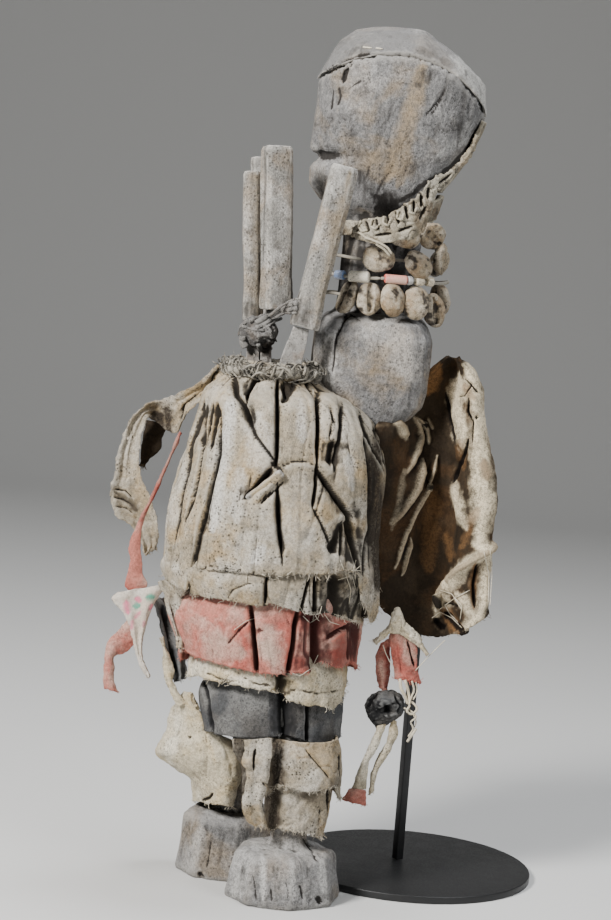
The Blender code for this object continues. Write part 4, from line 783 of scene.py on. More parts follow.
# What the photograph shows on them: cuts, then dark strokes that deepen the hollow colour, which are partly
# sooty grime and partly painted shade, then strokes of a dark or rusty colour and of a pale one, which are
# partly real marks and partly painted shade and painted highlights.
# "fine" has windows of the photograph (left, top, right, bottom) where the mesh is cut finer, and "over" the
# node that lies over a piece, the height from where it does, and how far and high the piece rises towards it.
# "shift" moves a piece towards the camera, to the right and up by so many millimetres, and "thin" has a way
# in the same terms and the share of the piece's width that is left along it
details = {
    "carvedFigure": {
        "fine": ((296, 25, 492, 216), (315, 296, 440, 425), (195, 790, 350, 912)),
        "over": ("hide_cap", 0.44, 0.020, 0.0030),
        "cuts": ((3.2, 1.8, 0, (347, 66, 344, 74, 342, 83)), (1.5, 1.0, 0, (352, 60, 349, 68)),
            (0.7, 2.0, 0, (346, 90, 354, 85, 362, 80)), (1.0, 1.2, 0, (333, 88, 332, 100, 330, 112)),
            (1.0, 1.5, 0, (338, 86, 340, 96, 337, 106)),
            (1.1, 1.1, 0.4, (448, 86, 440, 98, 432, 108, 425, 116)),
            (0.9, 1.0, 0.3, (442, 98, 436, 108, 430, 116)),
            (0.35, 1.2, 0, (372, 205, 378, 190, 390, 170, 405, 140, 420, 118)),
            (0.35, 1.1, 0, (398, 195, 406, 170, 416, 145)),
            (0.35, 1.1, 0, (365, 180, 372, 160, 385, 130, 395, 100)),
            (2.4, 1.0, 0, (347, 306, 345, 318, 337, 335, 334, 352, 332, 375)),
            (1.2, 0.8, 0, (345, 318, 352, 314, 362, 322)), (1.2, 1.0, 0, (352, 306, 346, 312)),
            (2.2, 2.2, 0, (318, 896, 321, 905)), (1.6, 0.9, 0, (303, 838, 312, 850, 318, 862)),
            (0.9, 1.2, 0, (252, 872, 255, 888, 256, 902)), (0.8, 1.0, 0, (285, 880, 288, 892, 288, 902)),
            (0.8, 1.0, 0, (300, 884, 303, 900)), (0.8, 1.0, 0, (270, 888, 272, 902)),
            (2.0, 2.0, 0, (199, 872, 202, 880)), (0.8, 1.0, 0, (211, 840, 209, 856, 206, 870))),
        "streakAndPaintedLight": ((9, 0.65, (422, 62, 417, 95, 404, 130, 393, 165, 386, 180)),
            (6, 0.45, (413, 120, 405, 160, 398, 185)), (8, 0.45, (378, 150, 372, 170, 382, 182)),
            (12, 0.55, (405, 335, 385, 350, 372, 370)), (20, 0.35, (395, 325, 402, 385))),
        # Most of these dark strokes are painted shade: under the head, on the neck behind the shells and
        # handles, and along the collar's upper edge.
        "shadeAndSoot": ((15, 1.0, (376, 196, 392, 206, 376, 212)), (16, 1.0, (352, 232, 356, 262, 348, 292)),
            (10, 0.9, (366, 214, 368, 236, 400, 240)), (9, 0.8, (322, 150, 334, 156)),
            (12, 0.6, (355, 172, 372, 184, 384, 190)), (10, 0.5, (420, 82, 432, 70, 446, 66)),
            (12, 0.9, (400, 262, 424, 262, 420, 300)), (10, 0.8, (370, 262, 380, 290, 372, 300)),
            (9, 0.6, (340, 330, 331, 352, 334, 372)),
            (3.0, 1.6, (382, 208, 400, 201, 414, 193, 426, 182, 440, 176, 452, 166, 464, 153, 472, 142)),
            (5, 0.5, (276, 860, 277, 905)), (5, 0.5, (308, 860, 309, 905)), (4, 0.4, (243, 866, 242, 892)),
            (5, 0.4, (222, 830, 220, 868)), (20, 1.2, (350, 250, 352, 300)), (20, 1.2, (400, 250, 402, 300))),
        "chalkAndPaintedLight": ((12, 0.6, (334, 335, 328, 380)), (12, 0.5, (245, 850, 240, 880, 236, 895)),
            (9, 0.6, (248, 842, 280, 848, 322, 846)), (4, 0.7, (262, 855, 263, 900)),
            (3, 0.7, (292, 858, 293, 902)), (4, 0.6, (322, 860, 324, 890)), (5, 0.5, (205, 812, 226, 816)),
            (8, 0.4, (200, 830, 192, 860, 186, 872)), (18, 0.35, (365, 325, 400, 345, 410, 375)),
            (5, 0.6, (440, 155, 462, 140, 470, 120))),
    },
    "hideCap": {
        "cuts": ((1.6, 0.9, 0, (320, 79, 330, 70, 345, 60, 360, 56, 376, 53)),
            (1.2, 1.0, 0, (352, 60, 358, 55, 370, 52)), (1.3, 0.8, 0, (450, 82, 462, 90, 475, 104, 481, 125)),
            (-1.4, 3.0, 0, (412, 31, 424, 34, 437, 38))),
        "streakAndPaintedLight": ((12, 0.45, (420, 50, 438, 62, 445, 78)), (20, 0.25, (345, 50, 380, 36, 410, 36))),
        # The pale stroke down the cap's right side is painted light, where a light from the right falls.
        "chalkAndPaintedLight": ((15, 1.0, (458, 62, 480, 88, 487, 125)),),
    },
    "lacedCollar": {
        "cuts": [(2.6, 1.3, 0.5, path) for path in ((366, 222, 369, 231), (376, 219, 378, 229),
            (386, 213, 388, 224), (395, 210, 397, 221), (404, 205, 406, 216), (413, 199, 413, 211),
            (421, 195, 420, 206), (429, 187, 427, 198), (372, 232, 388, 229), (398, 227, 414, 222))],
    },
    "seamPeg": {
        "shift": (-6.5, 8.9, 2.7), "thin": (0, -0.68, 0.74, 0.60),
        "chalkAndPaintedLight": ((14, 0.85, (256, 501, 281, 478)),),
    },
    "resinBinding": {
        "shift": (0, 4.5, 0.5), "thin": (0, 1, 0, 1.04), "chalkAndPaintedLight": ((9, 0.5, (246, 330, 262, 322)),),
    },
    "tang2": {"shift": (-9, -6.5, 0), "thin": (0, 1, 0, 0.6), "shadeAndSoot": ((14, 0.8, (268, 312, 268, 360)),)},
    "tang3": {"shift": (0, -2.2, 0), "thin": (0, 1, 0, 1.25)},
    # Along each handle's right edge a dark stroke paints shade on the face turned from the light; the handles
    # are also darkened at their feet.
    "handle2": {"shadeAndSoot": ((9, 0.4, (282, 296, 284, 312)),), "streakAndPaintedLight": ((3, 0.4, (289, 150, 290, 305)),)},
}
for name, foot, edge in (("handle1", (250, 305, 252, 330), (258, 165, 259, 320)),
                         ("handle3", (300, 298, 296, 328), (350, 172, 316, 320)),
                         ("handle4", (262, 290, 266, 310), (270, 160, 271, 300))):
    details[name] = {"shadeAndSoot": ((14, 0.7, foot),), "streakAndPaintedLight": ((4, 0.6, edge),), "chalkAndPaintedLight": ((7, 0.22, edge),)}
details["handle1"]["shadeAndSoot"] += ((9, 0.3, (252, 175, 253, 300)),)


def makeWeathered(name, node, voxel, smoothing, lumps, fray, finish, seed):
    detail = details.get(name, {})
    thing = copyOf(node, name)
    applyStep(thing, "REMESH", mode="VOXEL", voxel_size=voxel)
    applyStep(thing, "SMOOTH", factor=0.5, iterations=smoothing)
    if "over" in detail:
        movePoints(thing, swollenTo(pointsOf(thing), normalsOf(thing), *detail["over"]))
    if "fine" in detail:
        refined(thing, detail["fine"])
    if "shift" in detail:
        side, rear, up = detail["shift"]
        places = pointsOf(thing) + (side * sideWay + rear * backWay + up * upWay) * mm
        side, rear, up, share = detail["thin"]
        across = side * sideWay + rear * backWay + up * upWay
        off = (places - places.mean(0)) @ across
        movePoints(thing, places - (1 - share) * off[:, None] * across)
    weather(thing, lumps, fray, seed)
    places, ways = pointsOf(thing), normalsOf(thing)
    deep = engraved(places, ways, detail.get("cuts", ()))
    movePoints(thing, places - ways * deep[:, None])
    shadeAndSoot = painted(places, detail.get("shadeAndSoot", ()), ways)
    # The deepest cuts and the dark strokes deepen the hollow colour: painted shade in the cuts and between
    # the parts, with some grime.
    markHollows(thing, extra=np.clip(deep / 0.003, 0, 0.5) * (deep > 0.0009) + 0.5 * shadeAndSoot)
    for label in ("streakAndPaintedLight", "chalkAndPaintedLight"):
        if label in detail:
            mark(thing, label, painted(places, detail[label], ways))
    threadMap(thing)
    return finished(thing, finish, [node])


def smoothRows(rows, heights):
    # The columns of a table read smoothly at these values of its first column
    rows = np.array(rows, float)
    at = np.clip(heights, rows[0, 0], rows[-1, 0])
    low = np.clip(np.searchsorted(rows[:, 0], at) - 1, 0, len(rows) - 2)
    span = rows[low + 1, 0] - rows[low, 0]
    t = (at - rows[low, 0]) / span
    read = []
    for k in range(1, rows.shape[1]):
        slope = np.gradient(rows[:, k], rows[:, 0])
        a, b, sa, sb = rows[low, k], rows[low + 1, k], slope[low] * span, slope[low + 1] * span
        read.append(a + t * sa + t * t * (3 * (b - a) - 2 * sa - sb) + t ** 3 * (2 * (a - b) + sa + sb))
    return read


def gridThing(name, places, wrap=False):
    rows, columns = places.shape[:2]
    index = np.arange(rows * columns).reshape(rows, columns)
    right = np.roll(index, -1, 1) if wrap else index[:, 1:]
    left = index if wrap else index[:, :-1]
    quads = np.stack([left[:-1], right[:-1], right[1:], left[1:]], -1).reshape(-1, 4)
    mesh = bpy.data.meshes.new(name)
    mesh.from_pydata(places.reshape(-1, 3).tolist(), [], quads.tolist())
    mesh.update()
    return addThing(name, mesh)


def gridThreads(thing, across, up):
    # The "threads" map of a grid, from how far each point lies along its row and its column
    quads = cornersOf(thing).reshape(-1, 4)
    flat = np.stack([across.ravel(), up.ravel()], -1)[quads]
    start = np.broadcast_to(np.arange(across.shape[1]), across.shape).ravel()[quads]
    seam = (start.max(1) - start.min(1)) > 1          # faces between a ring's last column and its first
    flat[seam, :, 0] = np.where(start[seam] == 0, across.max(), flat[seam, :, 0])
    thing.data.uv_layers.new(name="threads").data.foreach_set("uv", flat.astype(np.float32).ravel())


makeCamera()
makeLights()
makeFloor()
print("camera, lights and floor are set")


def pathLengths(places, axis):
    steps = np.linalg.norm(np.diff(places, axis=axis), axis=2)
    return np.concatenate([np.zeros_like(steps.take([0], axis)), np.cumsum(steps, axis)], axis)


def tubes(name, paths, finish, sides, nodes=()):
    # One mesh of thin round strands: each is a run of points and a radius, thinner at its far end
    places, faces = [], []
    for points, radius in paths:
        points = np.asarray(points, float)
        ways = np.gradient(points, axis=0)
        ways /= np.maximum(np.linalg.norm(ways, axis=1), 1e-9)[:, None]
        across = np.cross(ways, (0.31, 0.52, 0.79))
        across /= np.maximum(np.linalg.norm(across, axis=1), 1e-9)[:, None]
        fat = radius * np.r_[np.ones(len(points) - 1), 0.45]
        turns = np.arange(sides) * 2 * pi / sides
        wide, tall = np.cos(turns)[:, None], np.sin(turns)[:, None]
        rings = across[:, None] * wide + np.cross(ways, across)[:, None] * tall
        rings = points[:, None] + rings * fat[:, None, None]
        start = len(places)
        places += rings.reshape(-1, 3).tolist()
        index = start + np.arange(len(points) * sides).reshape(-1, sides)
        nextOne = np.roll(index, -1, 1)
        faces += np.stack([index[:-1], nextOne[:-1], nextOne[1:], index[1:]], -1).reshape(-1, 4).tolist()
        faces += [index[0][::-1].tolist(), index[-1].tolist()]
    mesh = bpy.data.meshes.new(name)
    mesh.from_pydata(places, [], faces)
    return finished(addThing(name, mesh), finish, nodes)


def curled(place, way, length, stray, rng, steps=6):
    # A loose thread that starts just inside a place and strays as it goes
    points = [np.array(place) - way * 0.0012]
    for _ in range(steps):
        way = way + rng.normal(0, stray, 3)
        way = way / np.linalg.norm(way)
        points.append(points[-1] + way * length / steps)
    return points


def fringe(name, ends, outwards, finish, settings, seed):
    # Loose threads from a torn edge: number, shortest and longest, how far they stray, radius
    number, short, long, stray, radius = settings
    rng = np.random.default_rng(seed)
    paths = []
    for k in rng.integers(0, len(ends), number):
        way = np.array((0, 0, -1.0)) + outwards[k] * rng.uniform(-0.1, 0.5) + rng.normal(0, 0.3, 3)
        length = short + (long - short) * rng.random() ** 2.5
        points = curled(ends[k], way / np.linalg.norm(way), length, stray, rng)
        paths.append((points, radius * rng.uniform(0.7, 1.3)))
    return tubes(name, paths, finish, 4)


def strand(tree, path, lift, step):
    # Points just over a surface along a path of pixels, or over the gap where it meets none
    path = pathOf(path)
    count = max(2, int(np.linalg.norm(np.diff(path, axis=0), axis=1).sum() / step))
    spots = np.c_[[np.interp(np.linspace(0, len(path) - 1, count + 1), np.arange(len(path)), path[:, k])
                   for k in (0, 1)]].T
    rays, deep = [], []
    for u, v in spots:
        place = seenOn(tree, u, v)
        rays.append(np.array(sightRay(u, v).normalized()))
        deep.append(np.nan if place is None else np.linalg.norm(np.array(place) - eyeAt))
    deep = np.array(deep)
    known = np.flatnonzero(~np.isnan(deep))
    deep = np.interp(np.arange(len(deep)), known, deep[known])
    return [eyeAt + ray * (d - lift) for ray, d in zip(rays, deep)]


def clothGrid(name, places, wrap, look, inside):
    # A sheet from a grid of points, with its outer side turned away from a point inside it: engraved,
    # crumpled, creased, given loose threads, and thickened inwards
    thing = gridThing(name, places, wrap)
    ways = normalsOf(thing)
    if ((pointsOf(thing) - inside) * ways).sum() < 0:
        thing.data.flip_normals()
        ways = -ways
    flat = pointsOf(thing)
    crumple = sum(height * cloud(flat * stretch, size, look["seed"] + k, 4)
                  for k, (height, size, stretch) in enumerate(look["crumple"]))
    deep = engraved(flat, ways, look.get("slits", ()))
    for k, (height, size, stretch) in enumerate(look.get("creases", ())):
        line = np.clip(1 - 7 * np.abs(cloud(flat * stretch, size, look["seed"] + k + 9, 2)), 0, 1)
        deep = deep + height * line ** 1.5
    movePoints(thing, flat + ways * (crumple - deep)[:, None])
    # Slits deeper than 1.2 mm deepen the hollow colour: painted shade in the grooves.
    markHollows(thing, 0.0011, 16, np.clip(deep / 0.005, 0, 0.5) * (deep > 0.0012))
    for label in ("streakAndPaintedLight", "chalkAndPaintedLight"):
        if label in look:
            mark(thing, label, painted(flat, look[label]))
    if "fringe" in look:
        along = places.shape[1]
        hem = pointsOf(thing)[:along]
        fringe(name + "Fringe", hem, ways[:along], look["finish"], look["fringe"], look["seed"])
    if "tangle" in look:
        makeTangle(name + "Tangle", look["tangle"], look["rows"][0][4])
    gridThreads(thing, pathLengths(places, 1), pathLengths(places, 0))
    applyStep(thing, "SOLIDIFY", thickness=look["thickness"], offset=-1.0)
    finished(thing, look["finish"], look["nodes"])
    return thing


def inPlane(pixels, side):
    # Where sight lines meet the upright planes that lie so many millimetres towards the camera
    w, h = photo["size"]
    rays = (pixels[..., :1] - w / 2) * eyeRight + (h / 2 - pixels[..., 1:]) * eyeUp
    rays = rays / photo["focal"] + eyeAhead
    reach = (side * mm - (eyeAt - feetAt) @ sideWay) / (rays @ sideWay)
    return eyeAt + rays * reach[..., None]


def makeTangle(name, strands, side):
    # Thin cord that hangs in loops in front of a plane: each strand has a radius and a path of pixels
    paths = []
    for number, (radius, path) in enumerate(strands):
        spots = pathOf(path)
        run = np.arange(len(spots)) * 1.0
        u, v = smoothRows(np.c_[run, spots], np.linspace(0, run[-1], 8 * len(spots)))
        sway = side + 3 + 1.5 * np.sin(5 * np.linspace(0, 1, len(u)) + number)
        paths.append((inPlane(np.c_[u, v], sway), radius))
    return tubes(name, paths, "paleCloth", 7)


def ringAt(rows, heights, bearings, into=0.0):
    # Places on a ring cloth's ovals, which give a height, a middle, and side, front and back reach
    x, y, side, front, back = smoothRows(rows, heights)
    left = np.cos(bearings) * (side - into)
    rear = np.sin(bearings) * (np.where(np.sin(bearings) > 0, back, front) - into)
    places = np.stack([x, y, heights], -1) + left[..., None] * sideWay + rear[..., None] * backWay
    return places * mm + feetAt


def hemOf(look, bearings, plain):
    # The hem's height all round: as its path of pixels meets the cloth where it is seen, and plain behind
    rows = look["rows"]
    turns = np.linspace(-pi, pi, 181)
    heights = np.linspace(rows[0][0] - 30, rows[-1][0], 50)[:, None] * np.ones(len(turns))
    plainRing = gridThing("plainRing", ringAt(rows, heights, turns))
    tree = treeOf(plainRing)
    bpy.data.objects.remove(plainRing)
    found = []
    for u, v in pathOf(look["hem"]):
        place = seenOn(tree, u, v)
        if place is not None:
            spot = (np.array(place) - feetAt) / mm
            x, y, side, front, back = smoothRows(rows, spot[2:3])
            left, rear = ((spot - (x[0], y[0], 0)) @ way for way in (sideWay, backWay))
            found.append((np.arctan2(rear / (back[0] if rear > 0 else front[0]), left / side[0]), spot[2]))
    found = np.array(sorted(found))
    first, last = found[0, 0], found[-1, 0]
    rest = (bearings - first) % (2 * pi)
    seen = rest <= last - first
    path = np.interp(first + rest, found[:, 0], found[:, 1])
    share = np.clip(np.minimum(rest - (last - first), 2 * pi - rest) / 0.35, 0, 1)
    ends = np.where(rest - (last - first) < 2 * pi - rest, found[-1, 1], found[0, 1])
    return np.where(seen, path, ends + (plain - ends) * share)


def ringCloth(name, look):
    # Most columns go where the camera sees the cloth
    seen, edge = int(look["columns"] * 0.80), pi * 0.56
    bearings = np.r_[np.linspace(-edge, edge, seen, endpoint=False),
                     np.linspace(edge, 2 * pi - edge, look["columns"] - seen, endpoint=False)]
    rows = look["rows"]
    girth = rows[0][3]
    hemLine = np.c_[np.cos(bearings) * girth, np.sin(bearings) * girth, np.zeros(len(bearings))]
    number, depth, start = look["waves"]
    hem = hemOf(look, bearings, rows[0][0] + depth * np.sin(number * bearings + start))
    tear = cloud(hemLine, 9.0, look["seed"]) + 0.6 * cloud(hemLine, 2.4, look["seed"] + 3)
    hem = hem + look["ragged"] * tear
    share = np.linspace(0, 1, look["height"])[:, None]
    heights = hem + (rows[-1][0] - hem) * share
    into = np.zeros_like(heights)
    for bearing, half, deep in look["folds"]:
        apart = (bearings - radians(bearing) + pi) % (2 * pi) - pi
        into += deep * np.exp(-(apart / radians(half)) ** 2) * np.clip(1.15 - share, 0.3, 1)
    middle = feetAt + np.array((rows[0][1], rows[0][2], (rows[0][0] + rows[-1][0]) / 2)) * mm
    return clothGrid(name, ringAt(rows, heights, bearings, into), True, look, middle)


# Cloth that hangs round the body. Its rows are ovals from the hem up, in millimetres: height, middle (two),
# side reach, front reach, back reach. "hem" is the hem's path as it is seen, "waves" shape it where it isn't
# (number, depth, start) and "ragged" all of it. Each fold has a bearing and half a width in degrees, and a
# depth. Crumples and creases have a height, a size and a stretch, slits are cuts as above, and a fringe has a
# number of threads, their shortest and longest, how far they stray and their radius
ringCloths = {
    "gatheredGown": {
        "rows": ((206, -1, -3, 70, 75, 71), (256, -1, -3, 68, 73, 69), (296, -1, -3, 62, 64, 68),
            (316, 0, -7, 54, 56, 62), (330, 0, -14, 45, 47, 50), (341, 1, -20, 28, 30, 31),
            (352, 1, -19, 22, 24, 24)),
        "columns": 430, "height": 100, "waves": (3, 2.0, 0.8), "ragged": 1.2,
        "hem": (161, 579, 182, 590, 187, 590, 190, 569, 200, 568, 237, 571, 262, 576, 284, 577, 300, 575, 328,
            574, 345, 572, 359, 571, 364, 600, 372, 623, 388, 626),
        "folds": ((-84, 4, 4), (86, 6, 5), (112, 7, 5), (140, 7, 5), (172, 8, 5), (204, 8, 5), (235, 8, 5),
            (260, 5, 4)),
        "crumple": ((0.0024, 0.040, level), (0.0014, 0.013, pleated), (0.0007, 0.006, pleated),
            (0.0004, 0.003, level)),
        "thickness": 0.0020, "creases": ((0.0010, 0.016, pleated),),
        "slits": ((8.5, 1.4, 1.6, (218, 409, 217, 455, 198, 533, 186, 592)),
            (5.0, 1.1, 1.0, (204, 396, 198, 420, 188, 450, 180, 495, 174, 545)),
            (4.0, 1.0, 0.9, (214, 400, 207, 430, 199, 450, 191, 500, 184, 522)),
            (2.4, 0.9, 0.6, (196, 405, 186, 440, 170, 500, 162, 550)),
            (5.0, 1.6, 0.5, (206, 402, 202, 430, 198, 446)), (5.0, 1.6, 0.5, (217, 402, 212, 430, 209, 452)),
            (6.5, 2.6, 0.7, (233, 374, 235, 392, 244, 412, 250, 426)),
            (4.0, 1.3, 0.6, (242, 408, 254, 434, 277, 464)),
            (6.5, 1.7, 1.0, (244, 404, 247, 390, 254, 379, 264, 374, 274, 375)),
            (6.5, 2.2, 0, (272, 469, 260, 482, 243, 499)), (-2.6, 3.6, 0, (279, 476, 268, 488, 256, 501)),
            (2.5, 0.9, 0, (284, 481, 272, 493, 260, 504)), (3.0, 1.6, 0, (270, 462, 278, 468, 284, 474)),
            (8.0, 1.7, 1.4, (278, 377, 277, 416, 276, 466)), (4.0, 1.4, 0.8, (277, 480, 277, 513, 283, 568)),
            (6.0, 2.4, 0.5, (277, 490, 279, 530, 283, 552)), (8.5, 1.7, 1.4, (317, 386, 319, 416, 318, 462)),
            (6.5, 1.5, 1.0, (318, 460, 317, 485, 313, 508)),
            (7.5, 2.0, -2.4, (319, 470, 334, 491, 353, 516, 361, 573)),
            (1.8, 0.9, 1.2, (281, 467, 295, 461, 317, 464)),
            (4.5, 1.6, 1.0, (341, 397, 342, 425, 339, 450, 335, 472)), (6.0, 3.6, 0.5, (334, 440, 331, 465)),
            (2.5, 1.0, 0.8, (331, 402, 333, 420, 330, 440)),
            (7.0, 1.6, 1.6, (359, 409, 366, 440, 371, 480, 371, 530, 364, 575)),
            (2.2, 1.4, 0.8, (313, 508, 321, 523, 331, 545)), (6.0, 4.5, 0, (348, 520, 338, 542, 331, 554)),
            (3.0, 1.2, 1.5, (352, 518, 345, 540, 341, 556)), (2.6, 1.2, 1.2, (364, 424, 374, 450, 386, 473)),
            (2.6, 1.2, 1.2, (372, 420, 381, 445, 387, 470)), (3.5, 1.6, 0.5, (245, 498, 257, 483, 271, 467)),
            (1.5, 0.8, 0.4, (257, 504, 270, 491, 281, 478)), (6.0, 3.0, 0, (284, 380, 288, 390, 283, 400)),
            (3.0, 1.3, 0.7, (296, 378, 290, 392)), (3.0, 1.4, 0.7, (306, 380, 313, 392)),
            (0.8, 0.7, 0.2, (200, 570, 208, 566, 230, 569, 262, 574, 284, 573, 300, 572))),
        # The dark strokes are painted shade: black along the grooves of the folds, and dark over the gown's
        # right side, where it lies in shade beside the sleeve.
        "streakAndPaintedLight": ((2.4, 1.0, (233, 378, 235, 392, 243, 410)), (1.3, 1.0, (243, 410, 255, 436, 276, 463)),
            (1.5, 1.0, (244, 403, 247, 390, 254, 379, 264, 375, 274, 376)),
            (1.2, 1.0, (218, 448, 211, 490, 202, 532, 190, 586)), (1.6, 1.0, (271, 469, 258, 484, 244, 499)),
            (8, 1.0, (376, 432, 377, 480, 378, 540, 379, 590)), (5, 0.9, (390, 440, 391, 500, 392, 560)),
            (4, 0.8, (346, 525, 336, 552)), (5, 0.5, (334, 440, 331, 465))),
        "chalkAndPaintedLight": ((8, 0.7, (230, 405, 226, 440, 218, 490, 212, 530)), (6, 0.6, (252, 562, 264, 548)),
            (6, 0.5, (300, 400, 303, 440)), (8, 0.4, (240, 470, 236, 520)), (5, 0.5, (350, 455, 352, 490)),
            (16, 0.45, (258, 420, 262, 470)), (18, 0.15, (298, 480, 304, 550))),
        "fringe": (420, 0.001, 0.008, 0.35, 0.00014), "finish": "canvas", "nodes": ["gathered_gown"],
        "seed": 3, "sheet": ((0.47, 0.16), "gathered", ["tieCore"]),
    },
    "underGownHem": {
        "rows": ((188, -1, -2, 62, 66.5, 65.5), (224, -1, -2, 60.5, 65, 64), (240, 2, 18, 42, 34, 34)),
        "columns": 430, "height": 46, "waves": (5, 1.2, 0), "ragged": 1.1,
        "hem": (170, 592, 187, 593, 215, 598, 249, 604, 265, 606, 268, 603, 299, 613, 314, 616, 320, 616, 329,
            614, 345, 619, 363, 623, 372, 626, 388, 627),
        "folds": ((-95, 4, 3), (86, 6, 3), (112, 7, 3), (140, 7, 3), (172, 8, 3), (204, 8, 3), (235, 8, 3)),
        "crumple": ((0.0018, 0.025, level), (0.0012, 0.009, upright), (0.0005, 0.004, level)),
        "thickness": 0.0016,
        "slits": ((5.5, 1.3, 1.2, (267, 570, 264, 608)), (5.0, 1.3, 1.0, (310, 575, 305, 598, 299, 618)),
            (6.5, 1.8, 1.0, (317, 572, 316, 620)), (7.5, 5.0, 0, (337, 572, 336, 620)),
            (6.0, 1.5, 0.6, (186, 580, 185, 600)), (7.5, 3.0, 1.0, (369, 572, 369, 625)),
            (1.0, 0.8, 0.5, (226, 600, 233, 590, 247, 584, 262, 583))),
        # The dark strokes paint shade into the two wide gaps between panels.
        "streakAndPaintedLight": ((5, 0.9, (337, 575, 336, 622)), (4, 0.9, (369, 575, 369, 626))),
        "creases": ((0.0009, 0.014, (1, 1, 0.4)),), "fringe": (500, 0.001, 0.007, 0.4, 0.00014),
        "finish": "canvas", "nodes": ["under_gown_hem"], "seed": 9,
        "sheet": ((0.40, 0.07), "hung", ["gatheredGown"]),
    },
    "redBand": {
        "rows": ((149, -1, -2, 56.5, 59.5, 58.5), (202, -1, -2, 55, 58, 57), (222, 1, 14, 42, 34, 34)),
        "columns": 430, "height": 60, "waves": (5, 1.5, 0), "ragged": 1.0,
        "hem": (178, 645, 182, 648, 212, 663, 236, 669, 252, 672, 259, 674, 286, 675, 300, 674, 314, 674, 325,
            663, 338, 669, 353, 663, 366, 655, 378, 655),
        "folds": ((110, 8, 4), (170, 9, 4), (230, 8, 3), (-100, 6, 3)),
        "crumple": ((0.0018, 0.025, level), (0.0013, 0.010, upright), (0.0005, 0.004, level)),
        "thickness": 0.0016,
        "slits": ((7.5, 2.0, 1.6, (250, 600, 253, 640, 257, 678)),
            (7.5, 2.2, 1.4, (299, 605, 294, 645, 287, 680)), (8.0, 4.5, 0, (318, 606, 318, 640, 318, 680)),
            (4.5, 1.6, 1.2, (329, 640, 340, 632, 352, 626)), (4.0, 1.6, 0.8, (352, 622, 350, 660)),
            (1.8, 1.1, 0.6, (226, 646, 238, 632, 252, 618)), (6.0, 3.0, 0, (360, 620, 360, 670))),
        # The first dark stroke paints shade into the wide gap between panels.
        "streakAndPaintedLight": ((5, 0.95, (318, 606, 318, 640, 318, 680)), (9, 0.6, (336, 625, 345, 650, 335, 665))),
        "chalkAndPaintedLight": ((14, 0.5, (205, 640, 240, 655)), (14, 0.5, (270, 630, 276, 660))),
        "creases": ((0.0009, 0.014, (1, 1, 0.4)),), "fringe": (520, 0.001, 0.005, 0.45, 0.00014),
        "finish": "redCloth", "nodes": ["red_band"], "seed": 14,
        "sheet": ((0.36, 0.09), "hung", ["underGownHem"]),
    },
    "frayedUnderBand": {
        "rows": ((139, -1, -2, 51, 54, 53), (152, -1, -2, 50, 53, 52), (176, 1, 10, 41, 33, 33)),
        "columns": 400, "height": 30, "waves": (5, 1.5, 0), "ragged": 1.8,
        "hem": (183, 662, 201, 676, 227, 684, 250, 688, 275, 692, 280, 692, 288, 701, 310, 706, 335, 708, 351,
            707, 362, 704),
        "folds": ((110, 8, 3), (170, 9, 3), (230, 8, 2), (-100, 6, 2)),
        "crumple": ((0.0020, 0.020, level), (0.0014, 0.008, level), (0.0006, 0.004, level)),
        "thickness": 0.0014,
        "slits": ((7.0, 3.6, 0, (281, 668, 281, 700)), (1.2, 1.4, 0.8, (200, 670, 222, 680, 236, 682)),
            (1.1, 1.4, 0.8, (240, 676, 256, 684, 270, 686)), (1.0, 1.6, 0.5, (292, 690, 318, 694, 344, 690))),
        "streakAndPaintedLight": ((3, 0.6, (226, 682, 236, 686)), (3, 0.5, (296, 684, 312, 680, 330, 684))),
        "fringe": (420, 0.001, 0.006, 0.6, 0.00014), "finish": "paleCloth", "nodes": ["frayed_under_band"],
        "seed": 21, "sheet": ((0.33, 0.05), "hung", ["redBand"]),
    },
    "darkBand": {
        "rows": ((103, -1, -2, 44.5, 40, 52), (134, -1, -2, 43.5, 44, 51), (156, 1, 7, 41.5, 33, 36)),
        "columns": 400, "height": 52, "waves": (5, 1.0, 0), "ragged": 0.6,
        "hem": (205, 731, 210, 732, 232, 737, 258, 738, 280, 737, 291, 737, 307, 742, 320, 747, 344, 748, 352,
            745),
        "folds": ((120, 8, 2), (200, 8, 2), (-95, 6, 2)),
        "crumple": ((0.0012, 0.022, level), (0.0008, 0.009, upright), (0.0003, 0.004, level)),
        "thickness": 0.0018,
        "slits": ((8.0, 4.5, 0, (282, 668, 284, 700, 286, 745)), (6.0, 1.5, 1.4, (308, 700, 308, 748)),
            (5.0, 1.5, 0.8, (202, 678, 212, 735))),
        "fringe": (320, 0.0008, 0.003, 0.5, 0.00012), "finish": "darkCloth", "nodes": ["dark_band"],
        "seed": 27, "sheet": ((0.28, 0.06), "hung", ["frayedUnderBand"]),
    },
    "paleLegBand": {
        "rows": ((70, 34.3, 5.8, 26, 24, 28), (92, 33, 6.5, 26, 24.5, 28), (108, 30, 5.5, 24, 23, 26)),
        "columns": 330, "height": 44, "waves": (3, 1.0, 0), "ragged": 1.0,
        "hem": (276, 786, 293, 788, 305, 792, 320, 791, 335, 786, 344, 780), "folds": ((140, 12, 2),),
        "crumple": ((0.0016, 0.020, level), (0.0009, 0.008, level), (0.0003, 0.004, level)),
        "thickness": 0.0016,
        "slits": ((1.4, 0.9, 0.6, (304, 748, 318, 764, 331, 780)), (3.5, 1.5, 0.6, (341, 752, 342, 780)),
            (1.1, 3.0, 0, (276, 740, 276, 796))),
        # The first dark stroke is painted shade in the gap beside the hanging strip.
        "streakAndPaintedLight": ((9, 0.95, (276, 736, 278, 760, 277, 798)), (6, 0.5, (332, 786, 340, 778))),
        "creases": ((0.0007, 0.012, level),), "fringe": (520, 0.001, 0.006, 0.4, 0.00014), "finish": "canvas",
        "nodes": ["pale_leg_band"], "seed": 61, "sheet": ((0.15, 0.03), "hung", ["carvedFigure"]),
    },
